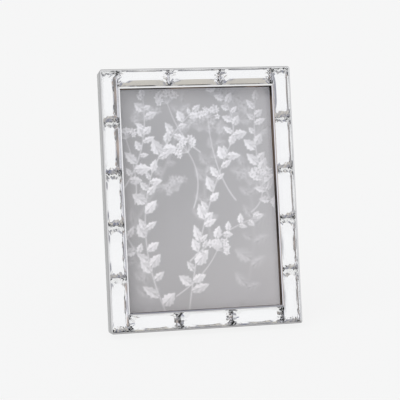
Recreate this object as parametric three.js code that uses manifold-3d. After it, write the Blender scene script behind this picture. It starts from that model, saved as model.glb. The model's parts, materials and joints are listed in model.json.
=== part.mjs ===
// Picture frame: a polished metal tray set with cut glass bars round a glazed print, closed by a velvet
// covered back board whose easel strut stands the frame upright or on its side.
// Millimetres, +X to the viewer's right, +Y away from the viewer, +Z up. The frame stands on z = 0 and
// leans back, and the origin is the middle of its footprint.
// Inside the leaning group x runs across, y is the depth behind the front rim and z runs up the frame.

import * as THREE from 'three';
import Module from 'manifold-3d';
import { mergeVertices } from 'three/addons/utils/BufferGeometryUtils.js';

// The print sets the size of the opening, and so of the frame
const PRINT_WIDTH = 101.6;
const PRINT_HEIGHT = 152.4;
const PRINT_THICKNESS = 0.3;
const HIDDEN_AT_SIDE = 1.2; // print covered by the frame along each long side
const HIDDEN_AT_END = 5.1; // and along the top and the bottom

// Glass bars
const SIDE_BAR_SHARES = [0.194, 0.2, 0.2, 0.2, 0.206]; // of the column's height, from the top
const BARS_ON_END = 3;
const BAR_CHANNEL = 10.3; // width of the channel that a bar lies in
const BAR_HEIGHT = 6.4;
const BAR_JOINT = 0.3; // gap between two bars, and from a bar to the channel
const BAR_INNER_CUT = 2.8; // width of the facet along the edge beside the picture
const BAR_OUTER_CUT = 1.7; // and along the other long edge
const BAR_END_CUT = 3.2; // width of the facet at each end
const BAR_CUT_DROP = 2.4; // height that the facets fall away

// Metal tray
const WALL = 1; // side wall, and the front rim that it ends in
const LIP = 1.1; // raised lip round the picture opening
const LIP_SETBACK = 0.2; // lip behind the front rim
const CHANNEL_DEPTH = 6;
const FLOOR = 1;
const CORNER_RADIUS = 2.2;
const REAR_EDGE = 0.8; // side wall behind the surround

// What else lies in the recess
const PANE_THICKNESS = 2;
const FILLER_THICKNESS = 1.2;
const BOARD_THICKNESS = 3;
const SEAT = 0.3; // gap left where one piece lies on another
const RECESS_PLAY = 0.4; // gap round the pane, print and boards

// Turn buttons
const BUTTON_SPACING = 60; // between the two on one side
const BUTTON_REACH = 10; // pivot to tip
const BUTTON_RADIUS = 3;
const BUTTON_TIP_RADIUS = 2.2;
const BUTTON_THICKNESS = 0.9;
const SCREW_SHANK_RADIUS = 1.1;
const SCREW_HEAD_RADIUS = 2.2;
const SCREW_HEAD_HEIGHT = 1;
const SCREW_GRIP = 5; // length in the surround
const SCREW_SLOT = 0.6;

// Easel strut and its hinge
const LEAN = THREE.MathUtils.degToRad(14);
const STRUT_OPENING = THREE.MathUtils.degToRad(26);
const HINGE_TILT = THREE.MathUtils.degToRad(30); // hinge line above level, so that the strut props both ways
const STRUT_LENGTH = 110; // hinge line to the corner of the foot
const STRUT_TOP_WIDTH = 22;
const STRUT_FOOT_WIDTH = 30;
const STRUT_THICKNESS = 3;
const STRUT_TOP_RADIUS = 3;
const LEAF_LENGTH = 20; // along the pin
const LEAF_WIDTH = 12;
const LEAF_THICKNESS = 0.7;
const PIN_RADIUS = 0.8;
const PIN_OVERHANG = 0.5;
const KNUCKLE_WALL = 0.6;
const MIDDLE_KNUCKLE = 7.4;
const STOP_LUG_LENGTH = 4;
const RIVET_SHANK_RADIUS = 1;
const RIVET_HEAD_RADIUS = 1.9;
const RIVET_HEAD_HEIGHT = 0.8;
const RIVET_SPACING = 12;
const RIVET_INSET = 8; // hinge line to the rivets
const RIVET_GRIP = 2.2; // length in the back board

// Toothed hangers
const HANGER_LENGTH = 34;
const HANGER_WIDTH = 7;
const HANGER_THICKNESS = 0.8;
const HANGER_RISE = 1.6; // raised middle above the board
const HANGER_TAB = 6; // flat end that the nail goes through
const HANGER_TEETH = 7;
const HANGER_TOOTH = 1.3;
const HANGER_INSET = 10; // edge of the board to the middle of the hanger
const NAIL_SHANK_RADIUS = 0.6;
const NAIL_HEAD_RADIUS = 1.5;
const NAIL_HEAD_HEIGHT = 0.6;
const NAIL_GRIP = 2;

// Worked out from the sizes above
const SIGHT_WIDTH = PRINT_WIDTH - 2 * HIDDEN_AT_SIDE;
const SIGHT_HEIGHT = PRINT_HEIGHT - 2 * HIDDEN_AT_END;
const BORDER = WALL + BAR_CHANNEL + LIP; // frame edge to the picture opening
const FRAME_WIDTH = SIGHT_WIDTH + 2 * BORDER;
const FRAME_HEIGHT = SIGHT_HEIGHT + 2 * BORDER;
const COLUMN_HEIGHT = FRAME_HEIGHT - 2 * WALL;
const END_BAR_PITCH = (SIGHT_WIDTH + 2 * LIP) / BARS_ON_END; // one bar with its joint
const MIDDLE = FRAME_HEIGHT / 2;
const PANE_FRONT = CHANNEL_DEPTH + FLOOR + SEAT;
const PRINT_FRONT = PANE_FRONT + PANE_THICKNESS + SEAT;
const FILLER_FRONT = PRINT_FRONT + PRINT_THICKNESS + SEAT;
const BOARD_FRONT = FILLER_FRONT + FILLER_THICKNESS + SEAT;
const BOARD_BACK = BOARD_FRONT + BOARD_THICKNESS;
const FRAME_DEPTH = BOARD_BACK + REAR_EDGE;
const RECESS_WIDTH = PRINT_WIDTH + 2 * RECESS_PLAY;
const RECESS_HEIGHT = PRINT_HEIGHT + 2 * RECESS_PLAY;
const SURROUND_WIDTH = FRAME_WIDTH - 2 * (WALL + SEAT);
const SURROUND_HEIGHT = FRAME_HEIGHT - 2 * (WALL + SEAT);
const BUTTON_X = (RECESS_WIDTH + SURROUND_WIDTH) / 4; // middle of the surround's side
const KNUCKLE_BORE = PIN_RADIUS + SEAT;
const KNUCKLE_RADIUS = KNUCKLE_BORE + KNUCKLE_WALL;
const PIN_DEPTH = BOARD_BACK + SEAT + KNUCKLE_RADIUS;
const END_KNUCKLE = (LEAF_LENGTH - MIDDLE_KNUCKLE) / 2 - SEAT;
const END_KNUCKLE_X = (LEAF_LENGTH - END_KNUCKLE) / 2;
const LEAF_FRONT = -KNUCKLE_RADIUS; // in the hinge's own axes, from the pin
const LEAF_BACK = LEAF_FRONT + LEAF_THICKNESS;
const STRUT_FRONT = LEAF_BACK + SEAT;

const ROUND_SIDES = 20; // flats round a pin, shank or knuckle
const HEAD_STEPS = 4; // rings in a domed head
const ARC_STEPS = 6; // steps along a rounded corner or a hole

const METAL = { color: 0xd9dbdd, roughness: 0.12, metalness: 1 };
const GLASS = { color: 0xf1f6f5, roughness: 0.02, metalness: 0 };
const PAPER = { color: 0xb4b2b2, roughness: 0.7, metalness: 0 };
const CARD = { color: 0xa79c8a, roughness: 0.9, metalness: 0 };
const FIBRE = { color: 0x2a2725, roughness: 0.85, metalness: 0 };
const VELVET = { color: 0x121214, roughness: 0.95, metalness: 0 };
const STEEL = { color: 0xb9babc, roughness: 0.3, metalness: 1 };
const BRASSED = { color: 0xc7a765, roughness: 0.3, metalness: 1 };

const wasm = await Module();
wasm.setup();

// Shapes and solids

function toManifold(geometry) {
  const bare = geometry.clone();
  bare.deleteAttribute('normal');
  bare.deleteAttribute('uv');
  const merged = mergeVertices(bare);
  return new wasm.Manifold(new wasm.Mesh({
    numProp: 3,
    vertProperties: new Float32Array(merged.attributes.position.array),
    triVerts: new Uint32Array(merged.index.array),
  }));
}

function toGeometry(manifold) {
  const mesh = manifold.getMesh();
  const geometry = new THREE.BufferGeometry();
  geometry.setAttribute('position', new THREE.BufferAttribute(mesh.vertProperties, 3));
  geometry.setIndex(new THREE.BufferAttribute(mesh.triVerts, 1));
  return geometry;
}

function join(...geometries) {
  return toGeometry(geometries.map(toManifold).reduce((whole, piece) => whole.add(piece)));
}

function cut(geometry, ...tools) {
  return toGeometry(tools.map(toManifold).reduce((rest, tool) => rest.subtract(tool), toManifold(geometry)));
}

// A flat outline in x and z, given a thickness from y = 0 backwards.
function plate(outline, thickness) {
  const geometry = new THREE.ExtrudeGeometry(
    outline, { depth: thickness, bevelEnabled: false, curveSegments: ARC_STEPS });
  return geometry.rotateX(Math.PI / 2).translate(0, thickness, 0);
}

function roundedRectangle(width, height, radius) {
  const x = width / 2 - radius;
  const z = height / 2 - radius;
  const outline = new THREE.Shape();
  outline.absarc(x, z, radius, 0, Math.PI / 2);
  outline.absarc(-x, z, radius, Math.PI / 2, Math.PI);
  outline.absarc(-x, -z, radius, Math.PI, 1.5 * Math.PI);
  outline.absarc(x, -z, radius, 1.5 * Math.PI, 2 * Math.PI);
  return outline;
}

function rectangle(width, height) {
  const outline = new THREE.Shape();
  outline.moveTo(-width / 2, -height / 2);
  outline.lineTo(width / 2, -height / 2);
  outline.lineTo(width / 2, height / 2);
  outline.lineTo(-width / 2, height / 2);
  return outline;
}

function block(width, depth, height) {
  return new THREE.BoxGeometry(width, depth, height);
}

// A round bar along y, from y = 0 backwards.
function rod(radius, length) {
  return new THREE.CylinderGeometry(radius, radius, length, ROUND_SIDES).translate(0, length / 2, 0);
}

// A round bar along x, with its middle at the given x.
function crossRod(radius, length, x = 0) {
  return new THREE.CylinderGeometry(radius, radius, length, ROUND_SIDES)
    .rotateZ(Math.PI / 2).translate(x, 0, 0);
}

function roundHole(x, z, radius) {
  return new THREE.Path().absarc(x, z, radius, 0, 2 * Math.PI);
}

// A domed head over a shank, turned about y: the shank fills y = 0 to its length, the head lies behind it.
function headedFastener(shankRadius, shankLength, headRadius, headHeight) {
  const profile = [[0, 0], [shankRadius, 0], [shankRadius, shankLength]];
  for (let step = 0; step < HEAD_STEPS; step += 1) {
    const angle = (step / HEAD_STEPS) * (Math.PI / 2);
    profile.push([headRadius * Math.cos(angle), shankLength + headHeight * Math.sin(angle)]);
  }
  profile.push([0, shankLength + headHeight]);
  return new THREE.LatheGeometry(profile.map(([x, y]) => new THREE.Vector2(x, y)), ROUND_SIDES);
}

function part(name, geometry, look) {
  const mesh = new THREE.Mesh(geometry, new THREE.MeshStandardMaterial(look));
  mesh.name = name;
  return mesh;
}

function place(mesh, x, y, z) {
  mesh.position.set(x, y, z);
  return mesh;
}

// Metal tray and the surround behind it

function ringPlate(outer, inner, thickness) {
  outer.holes.push(inner);
  return plate(outer, thickness);
}

// The inner corners are nearly sharp, so that the bars' square ends fit.
function makeTray() {
  const innerRadius = BAR_JOINT;
  const insideWidth = FRAME_WIDTH - 2 * WALL;
  const insideHeight = FRAME_HEIGHT - 2 * WALL;
  const sideWall = ringPlate(
    roundedRectangle(FRAME_WIDTH, FRAME_HEIGHT, CORNER_RADIUS),
    roundedRectangle(insideWidth, insideHeight, innerRadius), FRAME_DEPTH);
  const floor = ringPlate(
    rectangle(insideWidth + WALL, insideHeight + WALL),
    rectangle(SIGHT_WIDTH + LIP, SIGHT_HEIGHT + LIP), FLOOR).translate(0, CHANNEL_DEPTH, 0);
  const lip = ringPlate(
    rectangle(SIGHT_WIDTH + 2 * LIP, SIGHT_HEIGHT + 2 * LIP),
    rectangle(SIGHT_WIDTH, SIGHT_HEIGHT), CHANNEL_DEPTH + FLOOR - LIP_SETBACK).translate(0, LIP_SETBACK, 0);
  return place(part('tray', join(sideWall, floor, lip), METAL), 0, 0, MIDDLE);
}

function buttonPlaces() {
  return [
    { name: 'upper_left', x: -BUTTON_X, z: MIDDLE + BUTTON_SPACING / 2, facing: 1 },
    { name: 'lower_left', x: -BUTTON_X, z: MIDDLE - BUTTON_SPACING / 2, facing: 1 },
    { name: 'upper_right', x: BUTTON_X, z: MIDDLE + BUTTON_SPACING / 2, facing: -1 },
    { name: 'lower_right', x: BUTTON_X, z: MIDDLE - BUTTON_SPACING / 2, facing: -1 },
  ];
}

function makeSurround() {
  const front = CHANNEL_DEPTH + FLOOR + SEAT;
  const ring = ringPlate(
    rectangle(SURROUND_WIDTH, SURROUND_HEIGHT), rectangle(RECESS_WIDTH, RECESS_HEIGHT), BOARD_BACK - front);
  const pilots = buttonPlaces().map(({ x, z }) => rod(SCREW_SHANK_RADIUS + SEAT, SCREW_GRIP + 2 * SEAT)
    .translate(x, BOARD_BACK - front - SCREW_GRIP - SEAT, z - MIDDLE));
  return place(part('surround', cut(ring, ...pilots), FIBRE), 0, front, MIDDLE);
}

// Glass bars

// One bar along z, its picture side at +x: upright sides, then facets that slope in to the flat table.
function barGeometry(pitch) {
  const halfWidth = (BAR_CHANNEL - BAR_JOINT) / 2;
  const halfLength = (pitch - BAR_JOINT) / 2;
  const rings = [
    { outer: -halfWidth, inner: halfWidth, z: halfLength, y: 0 },
    { outer: -halfWidth, inner: halfWidth, z: halfLength, y: BAR_CUT_DROP - BAR_HEIGHT },
    {
      outer: BAR_OUTER_CUT - halfWidth, inner: halfWidth - BAR_INNER_CUT,
      z: halfLength - BAR_END_CUT, y: -BAR_HEIGHT,
    },
  ];
  const corners = rings.flatMap(({ outer, inner, z, y }) =>
    [[outer, y, -z], [inner, y, -z], [inner, y, z], [outer, y, z]]);
  const faces = [[0, 2, 1], [0, 3, 2]];
  for (let ring = 0; ring < rings.length - 1; ring += 1) {
    for (let side = 0; side < 4; side += 1) {
      const low = 4 * ring + side;
      const next = 4 * ring + (side + 1) % 4;
      faces.push([low, next, next + 4], [low, next + 4, low + 4]);
    }
  }
  const top = 4 * (rings.length - 1);
  faces.push([top, top + 1, top + 2], [top, top + 2, top + 3]);
  const geometry = new THREE.BufferGeometry();
  geometry.setAttribute('position', new THREE.Float32BufferAttribute(corners.flat(), 3));
  geometry.setIndex(faces.flat());
  return geometry;
}

function makeBars() {
  const bars = [];
  const base = CHANNEL_DEPTH - SEAT;
  const columnX = FRAME_WIDTH / 2 - WALL - BAR_CHANNEL / 2;
  const rowZ = FRAME_HEIGHT / 2 - WALL - BAR_CHANNEL / 2;
  let top = FRAME_HEIGHT - WALL;
  SIDE_BAR_SHARES.forEach((share, n) => {
    const pitch = share * COLUMN_HEIGHT;
    const z = top - pitch / 2;
    top -= pitch;
    const turned = barGeometry(pitch).rotateY(Math.PI);
    bars.push(place(part(`bar_left_${n + 1}`, barGeometry(pitch), GLASS), -columnX, base, z));
    bars.push(place(part(`bar_right_${n + 1}`, turned, GLASS), columnX, base, z));
  });
  for (let n = 0; n < BARS_ON_END; n += 1) {
    const x = (n - (BARS_ON_END - 1) / 2) * END_BAR_PITCH;
    const facingDown = barGeometry(END_BAR_PITCH).rotateY(Math.PI / 2);
    const facingUp = barGeometry(END_BAR_PITCH).rotateY(-Math.PI / 2);
    bars.push(place(part(`bar_top_${n + 1}`, facingDown, GLASS), x, base, MIDDLE + rowZ));
    bars.push(place(part(`bar_bottom_${n + 1}`, facingUp, GLASS), x, base, MIDDLE - rowZ));
  }
  return bars;
}

// Pane, print, filler and back board, in the recess

function makeLayer(name, thickness, front, look) {
  const geometry = block(PRINT_WIDTH, thickness, PRINT_HEIGHT).translate(0, thickness / 2, 0);
  return place(part(name, geometry, look), 0, front, MIDDLE);
}

function makeBackBoard(hinge) {
  const hingeHoles = rivetPlaces(1).map(({ x, z }) => rod(RIVET_SHANK_RADIUS + SEAT, RIVET_GRIP + 2 * SEAT)
    .translate(x, -RIVET_GRIP - SEAT, z)
    .rotateY(-HINGE_TILT)
    .translate(hinge.x, BOARD_THICKNESS, hinge.z - MIDDLE));
  const nailHoles = hangerPlaces().flatMap(({ x, z, turn }) => [-1, 1].map((end) =>
    rod(NAIL_SHANK_RADIUS + SEAT, NAIL_GRIP + 2 * SEAT)
      .translate(end * nailOffset(), BOARD_THICKNESS - NAIL_GRIP - SEAT, 0)
      .rotateY(turn)
      .translate(x, 0, z - MIDDLE)));
  const board = block(PRINT_WIDTH, BOARD_THICKNESS, PRINT_HEIGHT).translate(0, BOARD_THICKNESS / 2, 0);
  return place(part('back_board', cut(board, ...hingeHoles, ...nailHoles), VELVET), 0, BOARD_FRONT, MIDDLE);
}

// Turn buttons, each on its screw

function makeButtons() {
  const outline = new THREE.Shape();
  outline.absarc(0, 0, BUTTON_RADIUS, Math.PI / 2, 1.5 * Math.PI);
  outline.absarc(BUTTON_REACH - BUTTON_TIP_RADIUS, 0, BUTTON_TIP_RADIUS, 1.5 * Math.PI, 2.5 * Math.PI);
  outline.holes.push(roundHole(0, 0, SCREW_SHANK_RADIUS + SEAT));
  const shankLength = SCREW_GRIP + 2 * SEAT + BUTTON_THICKNESS;
  const slot = block(2 * SCREW_HEAD_RADIUS, SCREW_SLOT, SCREW_SLOT)
    .translate(0, shankLength + SCREW_HEAD_HEIGHT, 0);
  const screw = cut(
    headedFastener(SCREW_SHANK_RADIUS, shankLength, SCREW_HEAD_RADIUS, SCREW_HEAD_HEIGHT), slot);
  return buttonPlaces().flatMap(({ name, x, z, facing }) => {
    const button = plate(outline, BUTTON_THICKNESS).rotateY(facing > 0 ? 0 : Math.PI);
    return [
      place(part(`button_${name}`, button, STEEL), x, BOARD_BACK + SEAT, z),
      place(part(`button_screw_${name}`, screw.clone(), STEEL), x, BOARD_BACK - SCREW_GRIP, z),
    ];
  });
}

// Hangers and their nails

function nailOffset() {
  return (HANGER_LENGTH - HANGER_TAB) / 2;
}

function hangerPlaces() {
  return [
    { name: 'upright', x: 0, z: MIDDLE + PRINT_HEIGHT / 2 - HANGER_INSET, turn: 0 },
    { name: 'sideways', x: HANGER_INSET - PRINT_WIDTH / 2, z: MIDDLE, turn: -Math.PI / 2 },
  ];
}

// Raised strip with teeth along its lower edge, on two legs that end in nailed tabs.
function hangerGeometry() {
  const raised = HANGER_LENGTH - 2 * HANGER_TAB;
  const step = raised / HANGER_TEETH;
  const strip = new THREE.Shape();
  strip.moveTo(-raised / 2, HANGER_WIDTH / 2);
  for (let n = 0; n < HANGER_TEETH; n += 1) {
    strip.lineTo(-raised / 2 + n * step, -HANGER_WIDTH / 2);
    strip.lineTo(-raised / 2 + (n + 0.5) * step, HANGER_TOOTH - HANGER_WIDTH / 2);
  }
  strip.lineTo(raised / 2, -HANGER_WIDTH / 2);
  strip.lineTo(raised / 2, HANGER_WIDTH / 2);
  const ends = [-1, 1].flatMap((end) => {
    const tab = rectangle(HANGER_TAB, HANGER_WIDTH);
    tab.holes.push(roundHole(0, 0, NAIL_SHANK_RADIUS + SEAT));
    return [
      plate(tab, HANGER_THICKNESS).translate(end * nailOffset(), 0, 0),
      block(HANGER_THICKNESS, HANGER_RISE + HANGER_THICKNESS, HANGER_WIDTH)
        .translate(end * raised / 2, (HANGER_RISE + HANGER_THICKNESS) / 2, 0),
    ];
  });
  return join(plate(strip, HANGER_THICKNESS).translate(0, HANGER_RISE, 0), ...ends);
}

function makeHangers() {
  const nail = headedFastener(
    NAIL_SHANK_RADIUS, NAIL_GRIP + 2 * SEAT + HANGER_THICKNESS, NAIL_HEAD_RADIUS, NAIL_HEAD_HEIGHT);
  return hangerPlaces().flatMap(({ name, x, z, turn }) => {
    const group = new THREE.Group();
    group.position.set(x, BOARD_BACK, z);
    group.rotation.y = turn;
    group.add(place(part(`hanger_${name}`, hangerGeometry(), BRASSED), 0, SEAT, 0));
    group.add(place(part(`hanger_nail_${name}_1`, nail.clone(), BRASSED), -nailOffset(), -NAIL_GRIP, 0));
    group.add(place(part(`hanger_nail_${name}_2`, nail.clone(), BRASSED), nailOffset(), -NAIL_GRIP, 0));
    return group;
  });
}

// Easel hinge and strut. Their own axes: x along the pin, y back, z up from the pin at right angles to it.

// Where the pin's middle goes, so that the corner of the foot meets the surface both upright and sideways.
function hingePlace() {
  const along = STRUT_LENGTH * Math.cos(STRUT_OPENING) - STRUT_FRONT * Math.sin(STRUT_OPENING);
  const back = STRUT_LENGTH * Math.sin(STRUT_OPENING) + STRUT_FRONT * Math.cos(STRUT_OPENING);
  const rise = (PIN_DEPTH + back - FRAME_DEPTH) * Math.tan(LEAN);
  return {
    x: FRAME_WIDTH / 2 - rise - along * Math.sin(HINGE_TILT),
    z: rise + along * Math.cos(HINGE_TILT),
  };
}

function rivetPlaces(side) {
  return [-1, 1].map((end) => ({ x: end * RIVET_SPACING / 2, z: side * RIVET_INSET }));
}

function leafPlate(side) {
  const outline = rectangle(LEAF_LENGTH, LEAF_WIDTH);
  rivetPlaces(side).forEach(({ x, z }) => {
    outline.holes.push(roundHole(x, z - side * LEAF_WIDTH / 2, RIVET_SHANK_RADIUS + SEAT));
  });
  return plate(outline, LEAF_THICKNESS).translate(0, LEAF_FRONT, side * LEAF_WIDTH / 2);
}

// Room in a leaf for a knuckle of the other leaf.
function knuckleNotch(length, x) {
  const size = 2 * (KNUCKLE_RADIUS + SEAT);
  return block(length + 2 * SEAT, size, size).translate(x, 0, 0);
}

function makeBoardLeaf() {
  const notched = cut(leafPlate(1), knuckleNotch(MIDDLE_KNUCKLE, 0));
  const knuckles = [-1, 1].map((end) => crossRod(KNUCKLE_RADIUS, END_KNUCKLE, end * END_KNUCKLE_X));
  return part(
    'hinge_leaf_board', cut(join(notched, ...knuckles), crossRod(KNUCKLE_BORE, 2 * LEAF_LENGTH)), STEEL);
}

// The lug lies on the other leaf when the strut is open, so it is drawn there and turned back with the strut.
function makeStrutLeaf() {
  const notches = [-1, 1].map((end) => knuckleNotch(END_KNUCKLE, end * END_KNUCKLE_X));
  const lug = block(MIDDLE_KNUCKLE - 2 * SEAT, LEAF_THICKNESS, STOP_LUG_LENGTH)
    .translate(0, LEAF_BACK + SEAT + LEAF_THICKNESS / 2, KNUCKLE_BORE + STOP_LUG_LENGTH / 2)
    .rotateX(-STRUT_OPENING);
  const whole = join(cut(leafPlate(-1), ...notches), crossRod(KNUCKLE_RADIUS, MIDDLE_KNUCKLE), lug);
  return part('hinge_leaf_strut', cut(whole, crossRod(KNUCKLE_BORE, 2 * LEAF_LENGTH)), STEEL);
}

function makePin() {
  return part('hinge_pin', crossRod(PIN_RADIUS, LEAF_LENGTH + 2 * PIN_OVERHANG), STEEL);
}

function makeBoardRivets() {
  const boardBack = LEAF_FRONT - SEAT;
  const rivet = headedFastener(
    RIVET_SHANK_RADIUS, RIVET_GRIP + 2 * SEAT + LEAF_THICKNESS, RIVET_HEAD_RADIUS, RIVET_HEAD_HEIGHT);
  return rivetPlaces(1).map(({ x, z }, n) =>
    place(part(`rivet_board_${n + 1}`, rivet.clone(), STEEL), x, boardBack - RIVET_GRIP, z));
}

function makeStrutRivets() {
  const rivet = headedFastener(
    RIVET_SHANK_RADIUS, LEAF_THICKNESS + 2 * SEAT + STRUT_THICKNESS, RIVET_HEAD_RADIUS, RIVET_HEAD_HEIGHT);
  return rivetPlaces(-1).map(({ x, z }, n) =>
    place(part(`rivet_strut_${n + 1}`, rivet.clone(), STEEL), x, LEAF_FRONT, z));
}

// A block under the surface that the frame stands on, in the leaning group's axes.
function groundBlock() {
  const size = 2 * (FRAME_HEIGHT + STRUT_LENGTH);
  return block(size, size, size)
    .translate(0, 0, -size / 2 - FRAME_DEPTH * Math.sin(LEAN))
    .rotateX(LEAN);
}

// The same surface when the frame stands on its right side.
function sidewaysGroundBlock() {
  return groundBlock().rotateY(-Math.PI / 2).translate(FRAME_WIDTH / 2, 0, FRAME_HEIGHT / 2);
}

// Tapering strut, overlong at first, with its foot cut off level with the surface for both ways up.
function makeStrut(toHinge) {
  const shoulder = -(KNUCKLE_RADIUS + SEAT + STRUT_TOP_RADIUS);
  const end = -(STRUT_LENGTH + STRUT_FOOT_WIDTH);
  const corner = STRUT_TOP_WIDTH / 2 - STRUT_TOP_RADIUS;
  const outline = new THREE.Shape();
  outline.moveTo(-STRUT_FOOT_WIDTH / 2, end);
  outline.lineTo(STRUT_FOOT_WIDTH / 2, end);
  outline.absarc(corner, shoulder, STRUT_TOP_RADIUS, 0, Math.PI / 2);
  outline.absarc(-corner, shoulder, STRUT_TOP_RADIUS, Math.PI / 2, Math.PI);
  rivetPlaces(-1).forEach(({ x, z }) => {
    outline.holes.push(roundHole(x, z, RIVET_SHANK_RADIUS + SEAT));
  });
  const overlong = plate(outline, STRUT_THICKNESS).translate(0, STRUT_FRONT, 0);
  const tools = [groundBlock(), sidewaysGroundBlock()].map((tool) => tool.applyMatrix4(toHinge));
  return part('strut', cut(overlong, ...tools), VELVET);
}

function makeEasel(hinge) {
  const easel = new THREE.Group();
  easel.position.set(hinge.x, PIN_DEPTH, hinge.z);
  easel.rotation.y = -HINGE_TILT;
  const swing = new THREE.Group();
  swing.rotation.x = STRUT_OPENING;
  easel.add(makeBoardLeaf(), makePin(), ...makeBoardRivets(), swing);
  easel.updateMatrixWorld();
  const toHinge = swing.matrixWorld.clone().invert();
  swing.add(makeStrut(toHinge), makeStrutLeaf(), ...makeStrutRivets());
  return easel;
}

// The whole frame, leaning back on its lower rear edge

function makeFrame() {
  const hinge = hingePlace();
  const leaning = new THREE.Group();
  leaning.rotation.x = -LEAN;
  leaning.position.z = FRAME_DEPTH * Math.sin(LEAN);
  leaning.add(
    makeTray(), makeSurround(), ...makeBars(),
    makeLayer('pane', PANE_THICKNESS, PANE_FRONT, GLASS),
    makeLayer('print', PRINT_THICKNESS, PRINT_FRONT, PAPER),
    makeLayer('filler_card', FILLER_THICKNESS, FILLER_FRONT, CARD),
    makeBackBoard(hinge), ...makeButtons(), ...makeHangers(), makeEasel(hinge));
  const frame = new THREE.Group();
  frame.add(leaning);
  const footprint = new THREE.Box3().setFromObject(frame, true);
  leaning.position.y = -(footprint.min.y + footprint.max.y) / 2;
  frame.updateMatrixWorld(true);
  return frame;
}

export default makeFrame();
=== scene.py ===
"""Looks of a cut glass picture frame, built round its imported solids.

The leaning frame has axes of its own, in millimetres: x across to the viewer's right, y back from the front
rim and z up the frame. Every piece is worked out there as arrays and then placed in the row frame, in metres.
"""

import json
import logging
import math
from dataclasses import dataclass, field, replace
from enum import Enum
from typing import Any, Sequence

import bmesh
import bpy
import numpy as np
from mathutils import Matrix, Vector


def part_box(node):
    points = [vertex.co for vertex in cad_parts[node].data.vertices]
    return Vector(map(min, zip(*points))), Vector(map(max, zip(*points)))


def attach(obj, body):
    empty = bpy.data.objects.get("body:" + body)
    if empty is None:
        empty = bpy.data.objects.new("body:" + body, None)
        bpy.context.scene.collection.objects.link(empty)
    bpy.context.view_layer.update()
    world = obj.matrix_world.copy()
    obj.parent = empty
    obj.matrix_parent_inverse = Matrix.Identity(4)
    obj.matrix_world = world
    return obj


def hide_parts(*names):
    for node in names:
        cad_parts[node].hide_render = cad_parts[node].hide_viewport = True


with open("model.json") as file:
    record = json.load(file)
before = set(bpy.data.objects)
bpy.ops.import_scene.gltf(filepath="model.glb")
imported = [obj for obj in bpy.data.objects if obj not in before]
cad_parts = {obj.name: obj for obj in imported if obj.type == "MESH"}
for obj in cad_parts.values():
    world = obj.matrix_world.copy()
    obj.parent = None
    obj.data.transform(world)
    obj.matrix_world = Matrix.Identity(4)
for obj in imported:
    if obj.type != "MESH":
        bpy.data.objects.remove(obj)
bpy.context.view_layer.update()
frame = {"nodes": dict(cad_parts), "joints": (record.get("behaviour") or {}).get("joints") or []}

LOG = logging.getLogger("picture_frame")
MM = 0.001
Array = np.ndarray
Socket = bpy.types.NodeSocket


class Slot(str, Enum):
    """The record's material slots."""

    METAL = "polished_metal"
    BAR = "bar_glass"
    PANE = "pane_glass"
    PAPER = "print_paper"
    CARD = "filler_card"
    FIBRE = "fibreboard"
    VELVET = "velvet_board"
    STEEL = "plated_steel"
    BRASS = "brass"


class Body(str, Enum):
    """The bodies that a piece rides on."""

    FRAME = "frame"
    EASEL = "easel"
    UPPER_LEFT = "turn_button_upper_left"
    LOWER_LEFT = "turn_button_lower_left"
    UPPER_RIGHT = "turn_button_upper_right"
    LOWER_RIGHT = "turn_button_lower_right"


class Turn(Enum):
    """The axis that a set of axes is turned about."""

    X = 0
    Y = 1


# ---- axes and shapes


@dataclass(frozen=True)
class Axes:
    """Right-handed axes in the row frame: where x, y and z point, and the origin in metres."""

    origin: Array
    basis: Array

    def place(self, points: Array) -> Array:
        """Millimetres in these axes as metres in the row frame: the origin plus each coordinate times its axis."""
        return self.origin + MM * np.asarray(points, float) @ self.basis

    def moved(self, x: float, y: float, z: float) -> "Axes":
        """The same directions with the origin moved by x, y and z millimetres."""
        return Axes(self.place(np.array([x, y, z])), self.basis)

    def turned(self, about: Turn, degrees: float) -> "Axes":
        """Axes turned about their own x or y.

        Args:
            about: the axis that stays.
            degrees: the angle, right-handed.

        Returns:
            New axes: the two others are each a mix of the old two by the cosine and sine.
        """
        c, s = math.cos(math.radians(degrees)), math.sin(math.radians(degrees))
        x, y, z = self.basis
        if about is Turn.X:
            return Axes(self.origin, np.array([x, c * y + s * z, c * z - s * y]))
        return Axes(self.origin, np.array([c * x - s * z, y, c * z + s * x]))


@dataclass(frozen=True)
class Sizes:
    """The frame's main sizes in millimetres, the same as the solids'."""

    width: float = 124.0
    height: float = 167.0
    depth: float = 15.5
    lean: float = 14.0
    wall: float = 1.0
    channel: float = 10.3
    lip: float = 1.1
    lip_setback: float = 0.2
    channel_depth: float = 6.0
    floor: float = 1.0
    print_width: float = 101.6
    print_height: float = 152.4

    @property
    def middle(self) -> float:
        """Half the height."""
        return self.height / 2

    def axes(self) -> Axes:
        """The leaning axes, from the tray's box: its lowest front edge is at the front of that box.

        Returns:
            Axes with their origin at the front rim's lower edge.
        """
        c, s = math.cos(math.radians(self.lean)), math.sin(math.radians(self.lean))
        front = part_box("tray")[0]
        origin = np.array([0.0, front.y, front.z + MM * self.depth * s])
        return Axes(origin, np.array([[1, 0, 0], [0, c, -s], [0, s, c]]))


def unit(vectors: Array) -> Array:
    """Vectors of length one along the last axis."""
    return vectors / np.maximum(np.linalg.norm(vectors, axis=-1, keepdims=True), 1e-12)


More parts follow.
